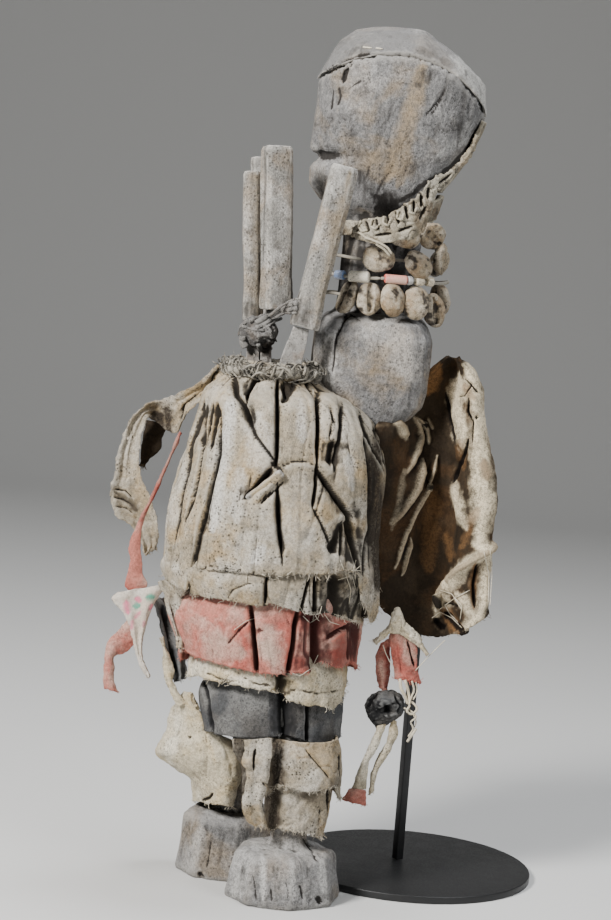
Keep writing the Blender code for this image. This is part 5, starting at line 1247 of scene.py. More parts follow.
    "leftLegWrap": {
        "rows": ((45, 35.3, 4.6, 20, 19.5, 19.5), (63, 32.2, 5.4, 21, 20.5, 24), (82, 29.4, 5.0, 21, 21, 26)),
        "columns": 330, "height": 44, "waves": (4, 1.5, 0), "ragged": 1.0,
        "hem": (278, 828, 295, 832, 310, 834, 318, 838, 328, 836, 332, 828), "folds": ((130, 12, 2),),
        "crumple": ((0.0016, 0.018, level), (0.0010, 0.008, upright), (0.0003, 0.004, level)),
        "thickness": 0.0016,
        "slits": ((3.0, 1.2, 0.8, (330, 786, 329, 810, 326, 838)), (1.0, 1.6, 0.4, (322, 796, 320, 826))),
        # The first dark stroke is painted shade down the wrap's left side, beside the hanging strip.
        "streakAndPaintedLight": ((9, 0.95, (271, 786, 271, 805, 273, 830)), (7, 0.5, (318, 792, 304, 796)),
            (4, 0.4, (300, 830, 312, 834))),
        "creases": ((0.0008, 0.010, (1, 1, 0.5)),), "fringe": (300, 0.001, 0.005, 0.4, 0.00014),
        "finish": "canvas", "nodes": ["left_leg_wrap"], "seed": 67,
        "sheet": ((0.12, 0.034), "hung", ["carvedFigure"]),
    },
}


# The necklace. Shells stand upright with the hump towards +Y; strings run round the neck's own middle
cowry = {"size": (0.0180, 0.0125, 0.0225), "segments": 24, "rings": 16, "flatten": 0.40,
         "mouth": (0.11, 0.40), "lip": 0.0006, "sink": 0.0026, "ground": (0.30, 0.30), "holeSink": 0.0052,
         "lumps": ((0.0014, 0.010, level), (0.0005, 0.004, level), (0.0002, 0.0015, level))}
necklace = {"middle": (0.5, 60.5), "narrow": 2, "reach": {"upper": 36, "bead": 46.5, "lower": 38},
            "up": {"upper": 423, "bead": 411, "lower": 398}, "string": 0.0011,
            "turns": {"upper": (0, 8, 20, 30, 155, 190, 0), "lower": (0, 150, 205, 20, -25, 160, 10)},
            "ground": ("lower_cowrie_2", "upper_cowrie_6", "lower_cowrie_6", "upper_cowrie_5"),
            "beads": ((-35, 7, "blue"), (-18, 14, "white"), (12, 15, "coral"), (24, 4, "grey"),
                      (33, 6, "pale"), (44, 6, "pale"), (-52, 8, "coral")), "beadRadius": 0.0030}


def chooseFaces(thing, wanted):
    shape = bmesh.from_edit_mesh(thing.data)
    for face in shape.faces:
        face.select_set(False)
    for face in shape.faces:
        if wanted(face.calc_center_median()):
            face.select_set(True)
    shape.select_flush_mode()
    bmesh.update_edit_mesh(thing.data)


def makeCowry(name, ground):
    wide, deep, long = cowry["size"]
    bpy.ops.object.select_all(action="DESELECT")
    bpy.ops.mesh.primitive_uv_sphere_add(segments=cowry["segments"], ring_count=cowry["rings"], radius=0.5,
                                         location=(0, 0, 0))
    thing = bpy.context.active_object
    thing.name = name
    bpy.ops.object.mode_set(mode="EDIT")
    bpy.ops.mesh.select_mode(type="FACE")
    bpy.ops.mesh.select_all(action="SELECT")
    bpy.ops.transform.resize(value=cowry["size"], center_override=(0, 0, 0))
    chooseFaces(thing, lambda spot: spot.y < -0.05 * deep)
    bpy.ops.transform.resize(value=(1, cowry["flatten"], 1), center_override=(0, -0.05 * deep, 0))
    half, reach = cowry["mouth"]
    chooseFaces(thing, lambda spot: spot.y < 0 and abs(spot.x) < half * wide and abs(spot.z) < reach * long)
    bpy.ops.mesh.inset(thickness=cowry["lip"], depth=0)
    bpy.ops.transform.translate(value=(0, cowry["sink"], 0))
    if ground:
        half, reach = cowry["ground"]
        chooseFaces(thing, lambda spot: spot.y > 0.2 * deep and abs(spot.x) < half * wide
                    and abs(spot.z) < reach * long)
        bpy.ops.mesh.inset(thickness=cowry["lip"], depth=0)
        bpy.ops.mesh.extrude_region_move(TRANSFORM_OT_translate={"value": (0, -cowry["holeSink"], 0)})
    bpy.ops.object.mode_set(mode="OBJECT")
    applyStep(thing, "SUBSURF", levels=2)
    return thing


def placeShells():
    masters = {False: makeCowry("domedCowry", False), True: makeCowry("groundCowry", True)}
    shapes = {ground: pointsOf(thing) for ground, thing in masters.items()}
    axis = feetAt + np.array((*necklace["middle"], 0)) * mm
    for row, turns in necklace["turns"].items():
        for number, turn in enumerate(turns, 1):
            node = f"{row}_cowrie_{number}"
            ground = node in necklace["ground"]
            solid = copyOf(node, "solid")
            corners = pointsOf(solid)
            bpy.data.objects.remove(solid)
            ways = np.linalg.eigh(np.cov((corners - corners.mean(0)).T))[1]
            long, out = ways[:, 2], ways[:, 0]
            long = long * (1 if long[2] > 0 else -1)
            out = out * (1 if out @ ((corners.mean(0) - axis) * (1, 1, 0)) > 0 else -1)
            frameAxes = np.stack([np.cross(out, long), out, long])
            spread = corners @ frameAxes.T
            middle = (spread.max(0) + spread.min(0)) / 2 @ frameAxes
            c, s = cos(radians(turn)), sin(radians(turn))
            spun = shapes[ground] @ np.array(((c, s, 0), (-s, c, 0), (0, 0, 1)))
            thing = addThing(f"{row}Cowrie{number}", masters[ground].data.copy())
            movePoints(thing, spun @ frameAxes + middle)
            weather(thing, cowry["lumps"], seed=70 + number)
            grime = np.clip(2.2 * cloud(pointsOf(thing), 0.006, 80 + number, 3), 0, 1)
            markHollows(thing, 0.0005, 10, 0.45 * grime)
            finished(thing, "cowrie", [node])
    for thing in masters.values():
        bpy.data.objects.remove(thing)


def onNeck(bearing, out, up):
    middle = np.array((*necklace["middle"], up))
    left, rear = cos(radians(bearing)) * (out - necklace["narrow"]), sin(radians(bearing)) * out
    return feetAt + (middle + left * sideWay + rear * backWay) * mm


def makeStrings():
    for row, out in necklace["reach"].items():
        loop = [onNeck(a, out + 0.5 * sin(radians(a * 7)), necklace["up"][row] + 0.7 * sin(radians(a * 5)))
                for a in np.linspace(0, 360, 145)]
        node = "bead_string" if row == "bead" else f"{row}_shell_string"
        tubes(row + "String", [(loop, necklace["string"])], "string", 8, [node])
    for number, (bearing, length, colour) in enumerate(necklace["beads"], 1):
        swell = 1.25 if colour == "white" else 1.0
        bpy.ops.object.select_all(action="DESELECT")
        bpy.ops.mesh.primitive_cylinder_add(vertices=28, radius=necklace["beadRadius"] * swell,
                                            depth=length * mm, location=(0, 0, 0))
        thing = bpy.context.active_object
        thing.name = f"bead{number}"
        applyStep(thing, "BEVEL", width=0.0011 * swell, segments=5)
        out, up = necklace["reach"]["bead"], necklace["up"]["bead"]
        along = Vector(onNeck(bearing + 1, out, up) - onNeck(bearing - 1, out, up))
        turn = along.to_track_quat("Z", "Y").to_matrix().to_4x4()
        thing.data.transform(Matrix.Translation(onNeck(bearing, out, up)) @ turn)
        weather(thing, ((0.0004, 0.004, level),), seed=90 + number)
        markHollows(thing, 0.0005, 4)
        finished(thing, colour + "Bead", [])


# The gathered neck's cord: turns of thin cord round one core, and ends that stand off it
tie = {"middle": (1, -19), "up": 346, "side": 27, "depth": 29, "core": 0.0033, "fat": 2.9, "turns": 240,
       "ends": 300}


def makeTie():
    rng = np.random.default_rng(5)

    def onRing(a, around, far):
        spot = np.array((*tie["middle"], tie["up"]))
        out = cos(a) * sideWay + sin(a) * backWay
        spot = spot + cos(a) * sideWay * tie["side"] + sin(a) * backWay * tie["depth"]
        return feetAt + (spot + (out * cos(around) + upWay * sin(around)) * far) * mm

    core = [onRing(a, 0, 1.2 * sin(5 * a)) for a in np.linspace(0, 2 * pi, 121)]
    thing = tubes("tieCore", [(core, tie["core"])], "string", 20, ["tie_cord"])
    weather(thing, ((0.0012, 0.008, level), (0.0010, 0.003, level)), seed=6)
    markHollows(thing, 0.0006, 8)
    paths = []
    for _ in range(tie["turns"]):
        a, span, around = rng.uniform(0, 2 * pi), rng.uniform(0.3, 1.3), rng.uniform(0, 2 * pi)
        swing, far = rng.normal(0, 4.0), tie["fat"] * rng.uniform(0.8, 2.1)
        path = [onRing(a + span * t, around + swing * t + 0.8 * sin(9 * t), far + 1.6 * sin(9 * t + a))
                for t in np.linspace(0, 1, 16)]
        paths.append((path, 0.0002 + 0.0010 * rng.random() ** 3))
    for _ in range(tie["ends"]):
        a, around = rng.uniform(0, 2 * pi), rng.uniform(-0.6, 2.2)
        base, off = onRing(a, around, tie["fat"] * 0.8), onRing(a, around, tie["fat"] * 1.8)
        way = (off - base) / np.linalg.norm(off - base) + rng.normal(0, 0.8, 3)
        paths.append((curled(base, way / np.linalg.norm(way), rng.uniform(0.003, 0.012), 0.55, rng, 5),
                      rng.uniform(0.00016, 0.0004)))
    turns = tubes("tieTurns", paths, "string", 6)
    markHollows(turns, 0.0006, 2, 0.5 * np.clip(2.5 * cloud(pointsOf(turns), 0.007, 4, 3), 0, 1))


# Pale threads that lie along paths of pixels over the pieces named: pieces, radius, lift, paths
threads = {
    "capStitches": (["hideCap"], 0.0005, 0.0002, ((363, 47, 372, 48), (376, 48, 383, 49))),
    "gownThreads": (["gatheredGown", "underGownHem", "redBand"], 0.00022, 0.0006,
        ((303, 616, 310, 623, 318, 618, 322, 606), (296, 600, 304, 614, 316, 612),
        (340, 560, 346, 575, 351, 590, 349, 604), (345, 575, 353, 570, 362, 571),
        (338, 580, 348, 577, 360, 566), (234, 630, 246, 621, 256, 618), (240, 566, 247, 574, 246, 584),
        (262, 574, 272, 580, 284, 577, 292, 571), (356, 560, 352, 575, 356, 590),
        (325, 615, 330, 622, 340, 625), (318, 655, 312, 668, 300, 676, 292, 673))),
    "sleeveThreads": (["leftSleeve"], 0.00028, 0.0008,
        ((436, 612, 444, 606, 455, 598, 470, 590), (432, 618, 440, 612, 452, 618, 462, 628),
        (444, 604, 450, 614, 458, 622), (455, 598, 462, 606, 460, 620), (484, 552, 489, 575, 488, 605),
        (490, 548, 492, 575, 490, 606), (440, 590, 452, 594, 462, 610))),
}


def makeThreads():
    for name, (under, radius, lift, paths) in threads.items():
        tree = treeOf(*[pieces[piece] for piece in under])
        tubes(name, [(strand(tree, path, lift + radius, 2.0), radius) for path in paths], "paleCloth", 6)


# Strands of fibre in the resin, from its lump to the handle beside it, round it and down to the tie: radius
# and path
resinFibres = ((0.0021, (256, 323, 267, 317, 278, 311, 288, 305, 298, 303)),
    (0.0016, (256, 328, 268, 322, 277, 316, 286, 310, 298, 308)),
    (0.0010, (270, 316, 280, 307, 288, 302, 299, 299)), (0.0007, (272, 319, 284, 313, 297, 313)),
    (0.0012, (250, 321, 262, 316, 274, 311, 284, 305)), (0.0010, (266, 328, 274, 322, 282, 318)),
    (0.0026, (243, 336, 243, 343, 246, 348)), (0.0007, (268, 324, 275, 329, 273, 336, 277, 342)),
    (0.0006, (264, 338, 271, 342, 276, 340)), (0.0013, (260, 362, 266, 354, 272, 347)),
    (0.0016, (258, 344, 261, 352, 260, 362)), (0.0006, (246, 322, 240, 328, 238, 336)),
    (0.0009, (252, 318, 262, 322, 270, 330, 272, 338)), (0.0008, (242, 326, 252, 330, 264, 330)))


def makeResinFibres():
    tree = treeOf(pieces["resinBinding"], pieces["handle3"], bpy.data.objects["tieCore"])
    paths = [(strand(tree, path, 0.6 * radius, 1.0), radius) for radius, path in resinFibres]
    thing = tubes("resinFibres", paths, "resin", 9)
    weather(thing, ((0.0007, 0.004, level), (0.0003, 0.0015, level)), 0.0003, seed=8)
    markHollows(thing, 0.0006, 4)


# The collar's lacing: loops that stand off its upper edge
lacing = ((361, 221, 358, 226, 362, 231, 368, 230), (372, 219, 370, 226, 375, 229, 380, 224),
    (384, 216, 383, 223, 388, 226, 391, 219), (353, 231, 360, 233, 366, 238, 374, 240),
    (398, 211, 397, 218, 402, 220, 404, 213), (410, 205, 410, 212, 414, 214, 417, 207),
    (372, 240, 380, 243, 388, 248, 392, 254), (376, 244, 384, 249, 390, 256))


def makeLacing():
    tree = treeOf(pieces["collarEdge"], pieces["lacedCollar"])
    tubes("collarLacing", [(strand(tree, path, 0.0015, 1.5), 0.0008) for path in lacing], "leather", 7)


# The stand: both solids with their edges eased by so much
stand = {"standDisc": ("stand_disc", 0.0009), "standRod": ("stand_rod", 0.0006)}


def makeStand():
    for name, (node, width) in stand.items():
        thing = copyOf(node, name)
        applyStep(thing, "BEVEL", width=width, segments=4, limit_method="ANGLE")
        thing.data.shade_smooth()
        finished(thing, "steel", [node])
        bpy.context.view_layer.objects.active = thing
        thing.select_set(True)
        bpy.ops.object.shade_smooth_by_angle(angle=radians(30))
        thing.select_set(False)


# Rags and strips, each as rows from its free end up: left u, v, right u, v in the photograph, then the
# cloth's place towards the camera in millimetres and, for a piece that goes round, half its depth. "size" is
# its points along and across, "pleats" a number and a depth, and "tangle" a radius and a path for each strand
# of loose cord. What a piece doesn't say is in rag
rag = {"thickness": 0.0013, "ragged": 1.0, "fine": 1.0, "pleats": (0, 0), "bow": 0, "under": [], "bag": 0,
       "lean": 0, "held": "hung",
       "crumple": ((0.0016, 0.014, level), (0.0008, 0.006, level), (0.0003, 0.003, level))}
drawnCloths = {
    "rightArmWrap": {
        "node": "right_arm_wrap", "finish": "canvas", "size": (300, 56), "bow": -3, "pleats": (2.5, 0.8),
        "rows": ((146, 554, 156, 549, -13), (137, 538, 159, 535, -14), (129, 524, 156, 518, -15),
            (117, 517, 153, 507, -16), (112, 506, 151, 496, -17), (110, 491, 146, 488, -18),
            (114.5, 475, 140.5, 475, -20), (116, 461, 139, 461, -21), (121.5, 441, 141, 438, -22),
            (129, 421, 144.5, 428, -22), (141, 408.5, 148, 417, -23), (151, 401.5, 154, 420, -30),
            (160, 400, 164, 428, -31), (168.5, 397.5, 176, 433, -26), (178, 393.5, 182, 420, -18),
            (190, 388, 192, 409, -12), (206, 377, 209, 398, -7), (215, 366, 222, 392, -3),
            (227, 360, 228, 378, 1), (242, 361, 238, 371, 3)),
        "slits": ((0.6, 2.0, 0.6, (133, 430, 128, 462, 126, 486)), (0.8, 0.8, 0.4, (131, 428, 134, 440)),
            (1.6, 1.0, 0.6, (114, 497, 122, 499, 134, 507)), (1.6, 1.0, 0.6, (116, 489, 125, 491, 133, 498)),
            (1.4, 1.0, 0.4, (115, 506, 126, 508, 132, 514)),
            (2.0, 1.2, 0.8, (214, 380, 200, 392, 184, 405, 178, 424)),
            (1.5, 1.0, 0.6, (222, 366, 212, 378, 206, 392)), (1.5, 1.0, 0.5, (236, 366, 228, 372, 222, 382))),
        # The dark strokes are painted shade: inside the wrap where it turns under, and in its folds.
        "streakAndPaintedLight": ((13, 1.0, (157, 412, 160, 432)), (6, 1.0, (166, 408, 169, 430)),
            (4, 0.7, (118, 494, 128, 500, 136, 510))),
        "fringe": (60, 0.001, 0.006, 0.5, 0.00014), "ragged": 1.6,
    },
    "rightArmTail": {
        "node": "right_arm_tail", "finish": "brownCloth", "size": (60, 30), "bow": 2,
        "rows": ((140, 466, 144, 467, -34), (141, 456, 151, 457, -35), (142, 446, 160, 449, -36),
            (143, 436, 162, 437, -37), (147, 420, 172, 424, -38)),
        "fringe": (50, 0.001, 0.005, 0.5, 0.00014),
    },
    "redRibbon": {
        "node": "red_ribbon", "finish": "redCloth", "size": (190, 22), "bow": 1, "ragged": 0.9, "fine": 0.5,
        "rows": ((131, 594, 144, 592, 3), (125.5, 587, 147.5, 585, 3), (127.5, 573, 143, 574, 2),
            (130, 562, 142, 563, 2), (128.7, 548, 141, 550, 2), (135, 528, 142, 528, 2),
            (141, 515, 146, 515, 2), (151, 496, 154.5, 497, 2), (162, 471, 165.5, 472, 2),
            (168.5, 456, 172, 457, 1), (175.5, 438, 179.5, 441, 0), (179, 431, 182.5, 433, -1)),
        "streakAndPaintedLight": ((5, 0.5, (181, 432, 170, 457, 160, 480, 150, 500, 140, 520)),),
        "fringe": (40, 0.0006, 0.003, 0.4, 0.00013),
    },
    "printScrap": {
        "node": "print_scrap", "finish": "printCloth", "size": (90, 50), "bow": 2, "pleats": (1.5, 1.0),
        "rows": ((147, 677, 150, 676, 13), (138.5, 661, 142.5, 659, 13), (134, 645, 143, 644, 13),
            (129, 626, 147, 625, 13), (123, 613, 151, 610, 13), (116, 604, 157, 599, 12),
            (112, 598, 163, 590, 12), (118, 592, 167, 584, 11)),
        "streakAndPaintedLight": ((4.0, 1.0, (126, 601, 127, 607, 128, 614)), (3.4, 1.0, (136, 599, 140, 600)),
            (3.2, 0.8, (140, 612, 135, 619)), (3.0, 0.8, (133, 620, 131, 629)),
            (2.4, 0.7, (144, 620, 143, 627)), (2.2, 0.8, (152, 604, 149, 610))),
        "chalkAndPaintedLight": ((4.2, 1.0, (146, 597, 150, 597, 154, 596)), (3.8, 1.0, (134, 606, 138, 606))),
        "fringe": (30, 0.001, 0.005, 0.5, 0.00014), "ragged": 1.2,
    },
    "redTail": {
        "node": "red_tail", "finish": "redCloth", "size": (80, 34), "bow": 2, "ragged": 0.9,
        "rows": ((103.8, 688, 119, 693, 2), (104.2, 680, 114, 683, 2), (104.6, 668, 114.5, 669, 1),
            (106, 652, 114.5, 657, 1), (107.5, 641, 124, 654, 1), (117, 631, 133, 646, 2),
            (126, 622, 139, 637, 3), (130, 617, 143, 630, 4)),
        "fringe": (40, 0.0006, 0.003, 0.4, 0.00013),
    },
    "beigeTail": {
        "node": "beige_tail", "finish": "canvas", "size": (80, 34), "bow": 2, "pleats": (1.5, 1.2),
        "rows": ((178.5, 647, 181, 648, 24), (174, 629, 183, 629, 25), (168, 612, 182.5, 617, 26),
            (166, 602, 183, 604, 27), (165, 594, 178, 592, 27), (160, 589, 172, 584, 26),
            (158, 582, 166, 579, 24)),
        "slits": ((1.0, 1.0, 0.6, (168, 598, 173, 612, 177, 630)),),
        "fringe": (30, 0.001, 0.005, 0.5, 0.00014),
    },
    "greyTail": {
        "node": "grey_tail", "finish": "darkCloth", "size": (90, 30), "bow": 3, "pleats": (2.0, 1.4),
        "rows": ((174, 682, 186, 678, -6), (167, 655, 184, 652, -7), (162, 630, 180, 628, -7),
            (156, 612, 175, 610, -7), (151, 600, 166, 597, -6)),
        "slits": ((2.5, 1.4, 0.6, (162, 605, 168, 640, 176, 672)),),
        "fringe": (30, 0.001, 0.005, 0.5, 0.00014),
    },
    "paleSideStrip": {
        "node": "pale_side_strip", "finish": "paleCloth", "size": (90, 24), "bow": 2, "fine": 0.7,
        "rows": ((177, 706, 187, 703, 0), (170, 693, 179, 693, 0), (165.4, 683, 174, 683, 0),
            (162.7, 665, 173.5, 668, 0), (163.2, 654, 169, 655, 0), (161.5, 645, 165, 644, 0),
            (160, 637, 162.5, 637, 0)),
        "fringe": (20, 0.001, 0.004, 0.5, 0.00014),
    },
    "hangingStripLong": {
        "node": "hanging_strip_long", "finish": "canvas", "size": (120, 40), "bow": 2, "pleats": (1.5, 1.0),
        "rows": ((255, 828, 266, 826, 51), (247, 820, 265.5, 818, 51), (242.6, 801, 264, 803, 52),
            (245, 787, 265, 789, 53), (247, 769, 270, 776, 53), (242.6, 763, 271, 763, 54),
            (244, 750, 272, 750, 53), (244, 740, 272, 738, 52)),
        "slits": ((2.4, 1.1, 0.8, (256, 748, 254, 760, 254, 772)),
            (1.5, 0.9, 0.8, (262, 782, 266, 786, 270, 784)), (1.0, 0.8, 0.4, (249, 747, 247, 758))),
        "fringe": (70, 0.001, 0.005, 0.5, 0.00014),
    },
    "hangingStripShort": {
        "node": "hanging_strip_short", "finish": "canvas", "size": (80, 24), "bow": 1,
        "rows": ((243, 806, 249, 805, 44), (242, 785, 250, 786, 45), (241, 766, 250, 766, 46),
            (233, 752, 247, 754, 47), (232, 739, 246, 739, 47)),
        # The dark stroke is painted shade: the strip hangs in shade between the pouch and the long strip.
        "streakAndPaintedLight": ((14, 0.85, (240, 740, 241, 770, 240, 806)),), "fringe": (30, 0.001, 0.004, 0.5, 0.00014),
    },
    "pouch": {
        "node": "right_leg_pouch", "finish": "paleCloth", "size": (110, 150), "under": ["carvedFigure"],
        "lean": 24,
        "rows": ((192, 801, 233, 806, -32, 23), (190, 790, 237, 792, -32, 25), (189, 779, 242, 780, -31, 27),
            (172, 766, 243, 766, -30, 28), (157, 753, 243, 757, -29, 27), (160, 743, 234, 746, -29, 26),
            (167, 729, 230, 738, -29, 24), (170, 716, 216, 731, -26, 19), (175, 706, 204, 716, -20, 13),
            (180, 698, 196, 703, -12, 7), (184, 691, 192, 694, -8, 4)),
        "slits": ((0.9, 3.0, 0.9, (203, 722, 206, 748, 205, 778)),
            (0.8, 2.6, 0.6, (182, 712, 178, 732, 168, 748)), (0.7, 2.4, 0.6, (224, 744, 229, 760, 233, 780)),
            (3.0, 1.4, 0, (200, 801, 209, 798, 213, 793)), (1.6, 1.2, 0, (186, 736, 190, 737)),
            (1.0, 1.0, 0, (182, 756, 184, 757))),
        "crumple": ((0.0034, 0.026, level), (0.0010, 0.009, level), (0.0004, 0.004, level)),
        "fringe": (90, 0.001, 0.007, 0.5, 0.00015), "ragged": 1.0,
    },
    "tasselCap": {
        "node": "tassel_cap", "finish": "paleCloth", "size": (110, 26), "bow": 3, "fine": 0.8,
        "rows": ((373, 641, 377, 645, 9), (381, 633, 383, 640, 10), (388, 624, 390, 633, 11),
            (394, 608, 396, 634, 12), (399.5, 607, 400, 635, 12), (404, 620, 404, 636, 12),
            (412, 628, 410, 640, 12), (419, 636, 416, 644, 11), (424, 647, 423, 651, 10),
            (429, 654, 427, 656, 9)),
        "creases": ((0.0009, 0.006, level),), "fringe": (30, 0.001, 0.005, 0.6, 0.00016),
    },
    "tasselRedCloth": {
        "node": "tassel_red_cloth", "finish": "redCloth", "size": (70, 50), "bow": 4, "pleats": (1.2, 0.6),
        "rows": ((395, 679, 421.5, 683, 5), (394, 668, 418, 671, 5), (391, 655, 417, 657, 6),
            (389, 643, 416, 645, 7), (389, 636, 409, 638, 7), (393, 631, 403, 632, 7)),
        "slits": ((2.4, 1.1, 1.0, (408, 640, 411, 655, 415, 668)),
            (1.0, 1.0, 0.4, (396, 640, 399, 660, 401, 676))),
        "tangle": ((0.0011, (400, 679, 401, 688, 405, 696, 408, 704)),
            (0.0010, (405, 680, 408, 690, 410, 702)), (0.0007, (412, 681, 414, 690, 411, 698, 409, 705)),
            (0.0005, (416, 682, 417, 692, 413, 700)),
            (0.0008, (406, 700, 413, 703, 417, 709, 412, 714, 407, 711, 410, 705)),
            (0.0006, (404, 708, 411, 711, 416, 717, 411, 722, 413, 729, 408, 737)),
            (0.0009, (416, 729, 412, 735, 407, 742)), (0.0004, (412, 712, 416, 722, 412, 731)),
            (0.0003, (383, 645, 387, 656, 394, 669)), (0.0003, (445, 640, 430, 655, 415, 671))),
        "fringe": (90, 0.001, 0.006, 0.6, 0.00015),
    },
    "tasselSideRed": {
        "node": "tassel_side_red", "finish": "redCloth", "size": (60, 24), "bow": 3,
        "rows": ((377, 689, 388, 691, 0), (376, 670, 390, 670, 0), (376, 655, 390, 655, 1),
            (380, 643, 391, 639, 2)),
        "streakAndPaintedLight": ((5, 0.9, (389, 650, 389, 690)),), "fringe": (30, 0.001, 0.005, 0.5, 0.00014),
    },
    "tasselKnot": {
        "node": "tassel_knot", "finish": "darkCloth", "size": (70, 90),
        "rows": ((376, 729, 384, 728, -1, 3), (370, 723, 393, 722, -1, 8), (366, 711, 403, 713, 0, 12),
            (366, 702, 406, 704, 0, 13), (373, 694, 402, 695, 0, 9), (382, 690, 394, 690, 0, 4)),
        "slits": ((7.0, 3.4, 1.0, (385, 706, 388, 712, 389, 716)),
            (2.2, 1.2, 0.8, (378, 692, 370, 700, 367, 708)), (2.0, 1.2, 0.8, (395, 694, 402, 706, 398, 716))),
        "crumple": ((0.0022, 0.010, level), (0.0010, 0.005, level), (0.0004, 0.003, level)),
        "creases": ((0.0010, 0.008, level),),
        # The dark strokes are painted shade on the knot's left side, which lies in shadow, and in its hole.
        "streakAndPaintedLight": ((16, 1.0, (372, 700, 372, 722)), (6, 0.9, (386, 708, 389, 714))),
    },
    "tasselStripNear": {
        "node": "tassel_strip_near", "finish": "paleCloth", "size": (90, 24), "bow": 2,
        "rows": ((351.5, 789, 366.5, 790, 1), (356, 776, 367, 776, 2), (362, 762, 369.5, 761, 3),
            (368, 748, 377.5, 748, 3), (374, 735, 382, 735, 2), (378, 725, 386, 724, 2)),
        "fringe": (30, 0.0006, 0.003, 0.5, 0.00014),
    },
    "tasselStripFar": {
        "node": "tassel_strip_far", "finish": "paleCloth", "size": (90, 20), "bow": 2,
        "rows": ((368.6, 795, 373.5, 792, -4), (370, 782, 374.5, 784, -3), (372, 770, 378, 771, -3),
            (377, 759, 383, 762, -2), (385, 745, 393.5, 744, -1), (389, 733, 397, 733, 0),
            (390, 719, 397, 721, 1)),
        "fringe": (20, 0.0006, 0.004, 0.5, 0.00014),
    },
    "tasselRedEnd": {
        "node": "tassel_red_end", "finish": "redCloth", "size": (30, 30), "bow": 2,
        "rows": ((341, 800, 366, 806, 2), (344, 795, 366, 798, 2), (349, 788, 366.5, 790, 2)),
        "fringe": (50, 0.0006, 0.003, 0.5, 0.00014),
    },
    # The left sleeve: an open wing of stiff cloth, gathered under the shoulder, with a broad rolled rim. Its
    # outline gives share across and place towards the camera, and the last column of its rows lifts the
    # gathered edge, over the share "gather" of its width
    "leftSleeve": {
        "node": "left_sleeve", "finish": "brownCloth", "size": (200, 180), "thickness": 0.0022, "bag": 28,
        "ragged": 0.8, "held": "draped", "under": ["carvedFigure"], "gather": 0.4, "outlineScale": (75, 1),
        "outline": ((0, -6), (0.12, -8), (0.30, -12), (0.48, -16), (0.60, -16), (0.67, -9), (0.72, 4),
            (0.80, 12), (0.91, 13), (0.99, 7), (1.0, 1), (0.97, -4), (0.90, -6)),
        "rows": ((378, 604, 489, 613, 0, 2), (375, 580, 488, 590, 0, 4), (374, 550, 490, 552, 0, 8),
            (376, 522, 494, 525, 0, 12), (377, 500, 498, 505, 0, 14), (378, 475, 496.5, 476, 0, 18),
            (376, 450, 492, 453, 0, 22), (375, 434, 488.5, 437, 0, 25), (377, 424, 486.5, 424, 0, 22),
            (388, 414, 484, 410, 0, 4), (402, 400, 483, 395, 0, 0), (412, 386, 481, 384, 0, 0),
            (424, 377, 476, 372.5, 0, 0), (436, 367, 467, 363, 0, 0), (449, 358.5, 459, 357.5, 0, 0)),
        "crumple": ((0.0020, 0.030, level), (0.0007, 0.008, level), (0.0003, 0.004, level)),
        "slits": ((-3.0, 2.4, 0, (412, 418, 420, 436, 418, 451, 405, 474)),
            (-3.0, 3.4, 0, (396, 421, 403, 428, 407, 438)), (-3.0, 2.0, 0, (414, 417, 427, 429, 429, 443)),
            (-2.0, 1.5, 0, (426, 417, 433, 429)), (-5.0, 3.4, 0, (422, 460, 412, 493, 391, 524)),
            (-4.0, 2.6, 0, (437, 455, 434, 470, 428, 484, 420, 498, 412, 514, 405, 532, 395, 568)),
            (-3.5, 1.8, 0, (410, 538, 402, 575)), (1.1, 3.0, 0, (425, 440, 413, 470, 401, 484)),
            (1.1, 2.0, 0, (431, 462, 423, 480, 412, 500, 402, 520)),
            (1.0, 2.4, 0, (409, 424, 412, 445, 406, 462)), (1.0, 1.6, 0, (421, 426, 425, 440)),
            (3.5, 2.0, 0.6, (468, 438, 460, 458, 452, 484)), (-3.5, 5.5, 0, (455, 482, 461, 505, 466, 526)),
            (-7.0, 4.2, 0, (494, 541, 480, 553, 462, 570, 446, 592, 437, 614)),
            (4.0, 2.4, 0, (477, 562, 473, 585, 475, 609)), (-3.0, 3.2, 0, (485, 553, 486, 585, 484, 610)),
            (4.0, 2.6, 0, (445, 610, 453, 624, 462, 635)), (3.0, 2.0, 0, (434, 618, 444, 630)),
            (2.0, 1.6, 0, (447, 602, 458, 607)), (2.5, 1.4, 0, (446, 390, 449, 420, 455, 446)),
            (1.6, 0.9, 0.4, (456, 397, 464, 396, 473, 384)),
            (2.6, 1.0, 0.5, (469, 396, 468, 412, 474, 422, 472, 446)), (1.8, 1.4, 0, (476, 416, 479, 419)),
            (1.6, 0.9, 0, (464, 378, 472, 386, 479, 394))),
        # On the sleeve both stroke colours are lighter than the dark cloth: the pale one gives the rolled rim
        # its cream colour and paints highlights along the lit ridges of the gathers, and the rusty one paints
        # highlights.
        "streakAndPaintedLight": ((9, 1.0, (458, 374, 457, 408, 463, 448)),
            (12, 1.0, (470, 366, 480, 420, 483, 470, 484, 510, 480, 552)),
            (7, 1.0, (494, 541, 478, 556, 462, 570, 446, 592, 436, 618)),
            (6, 0.7, (455, 482, 461, 505, 467, 530)), (7, 1.0, (487, 548, 487, 590, 480, 616, 452, 638)),
            (8, 0.7, (458, 594, 470, 610, 476, 622)),
            (2.0, 0.9, (437, 455, 434, 470, 428, 484, 420, 498, 412, 514, 405, 532, 395, 568)),
            (4.0, 0.5, (395, 420, 401, 428, 406, 438)), (2.2, 0.6, (413, 417, 420, 436, 417, 452, 406, 472)),
            (3.0, 0.5, (422, 460, 412, 493, 391, 524)), (1.8, 0.7, (410, 538, 402, 575)),
            (1.8, 0.5, (416, 418, 427, 430, 429, 443)), (1.5, 0.4, (427, 418, 433, 429)),
            (3.0, 0.25, (404, 470, 398, 500, 392, 530))),
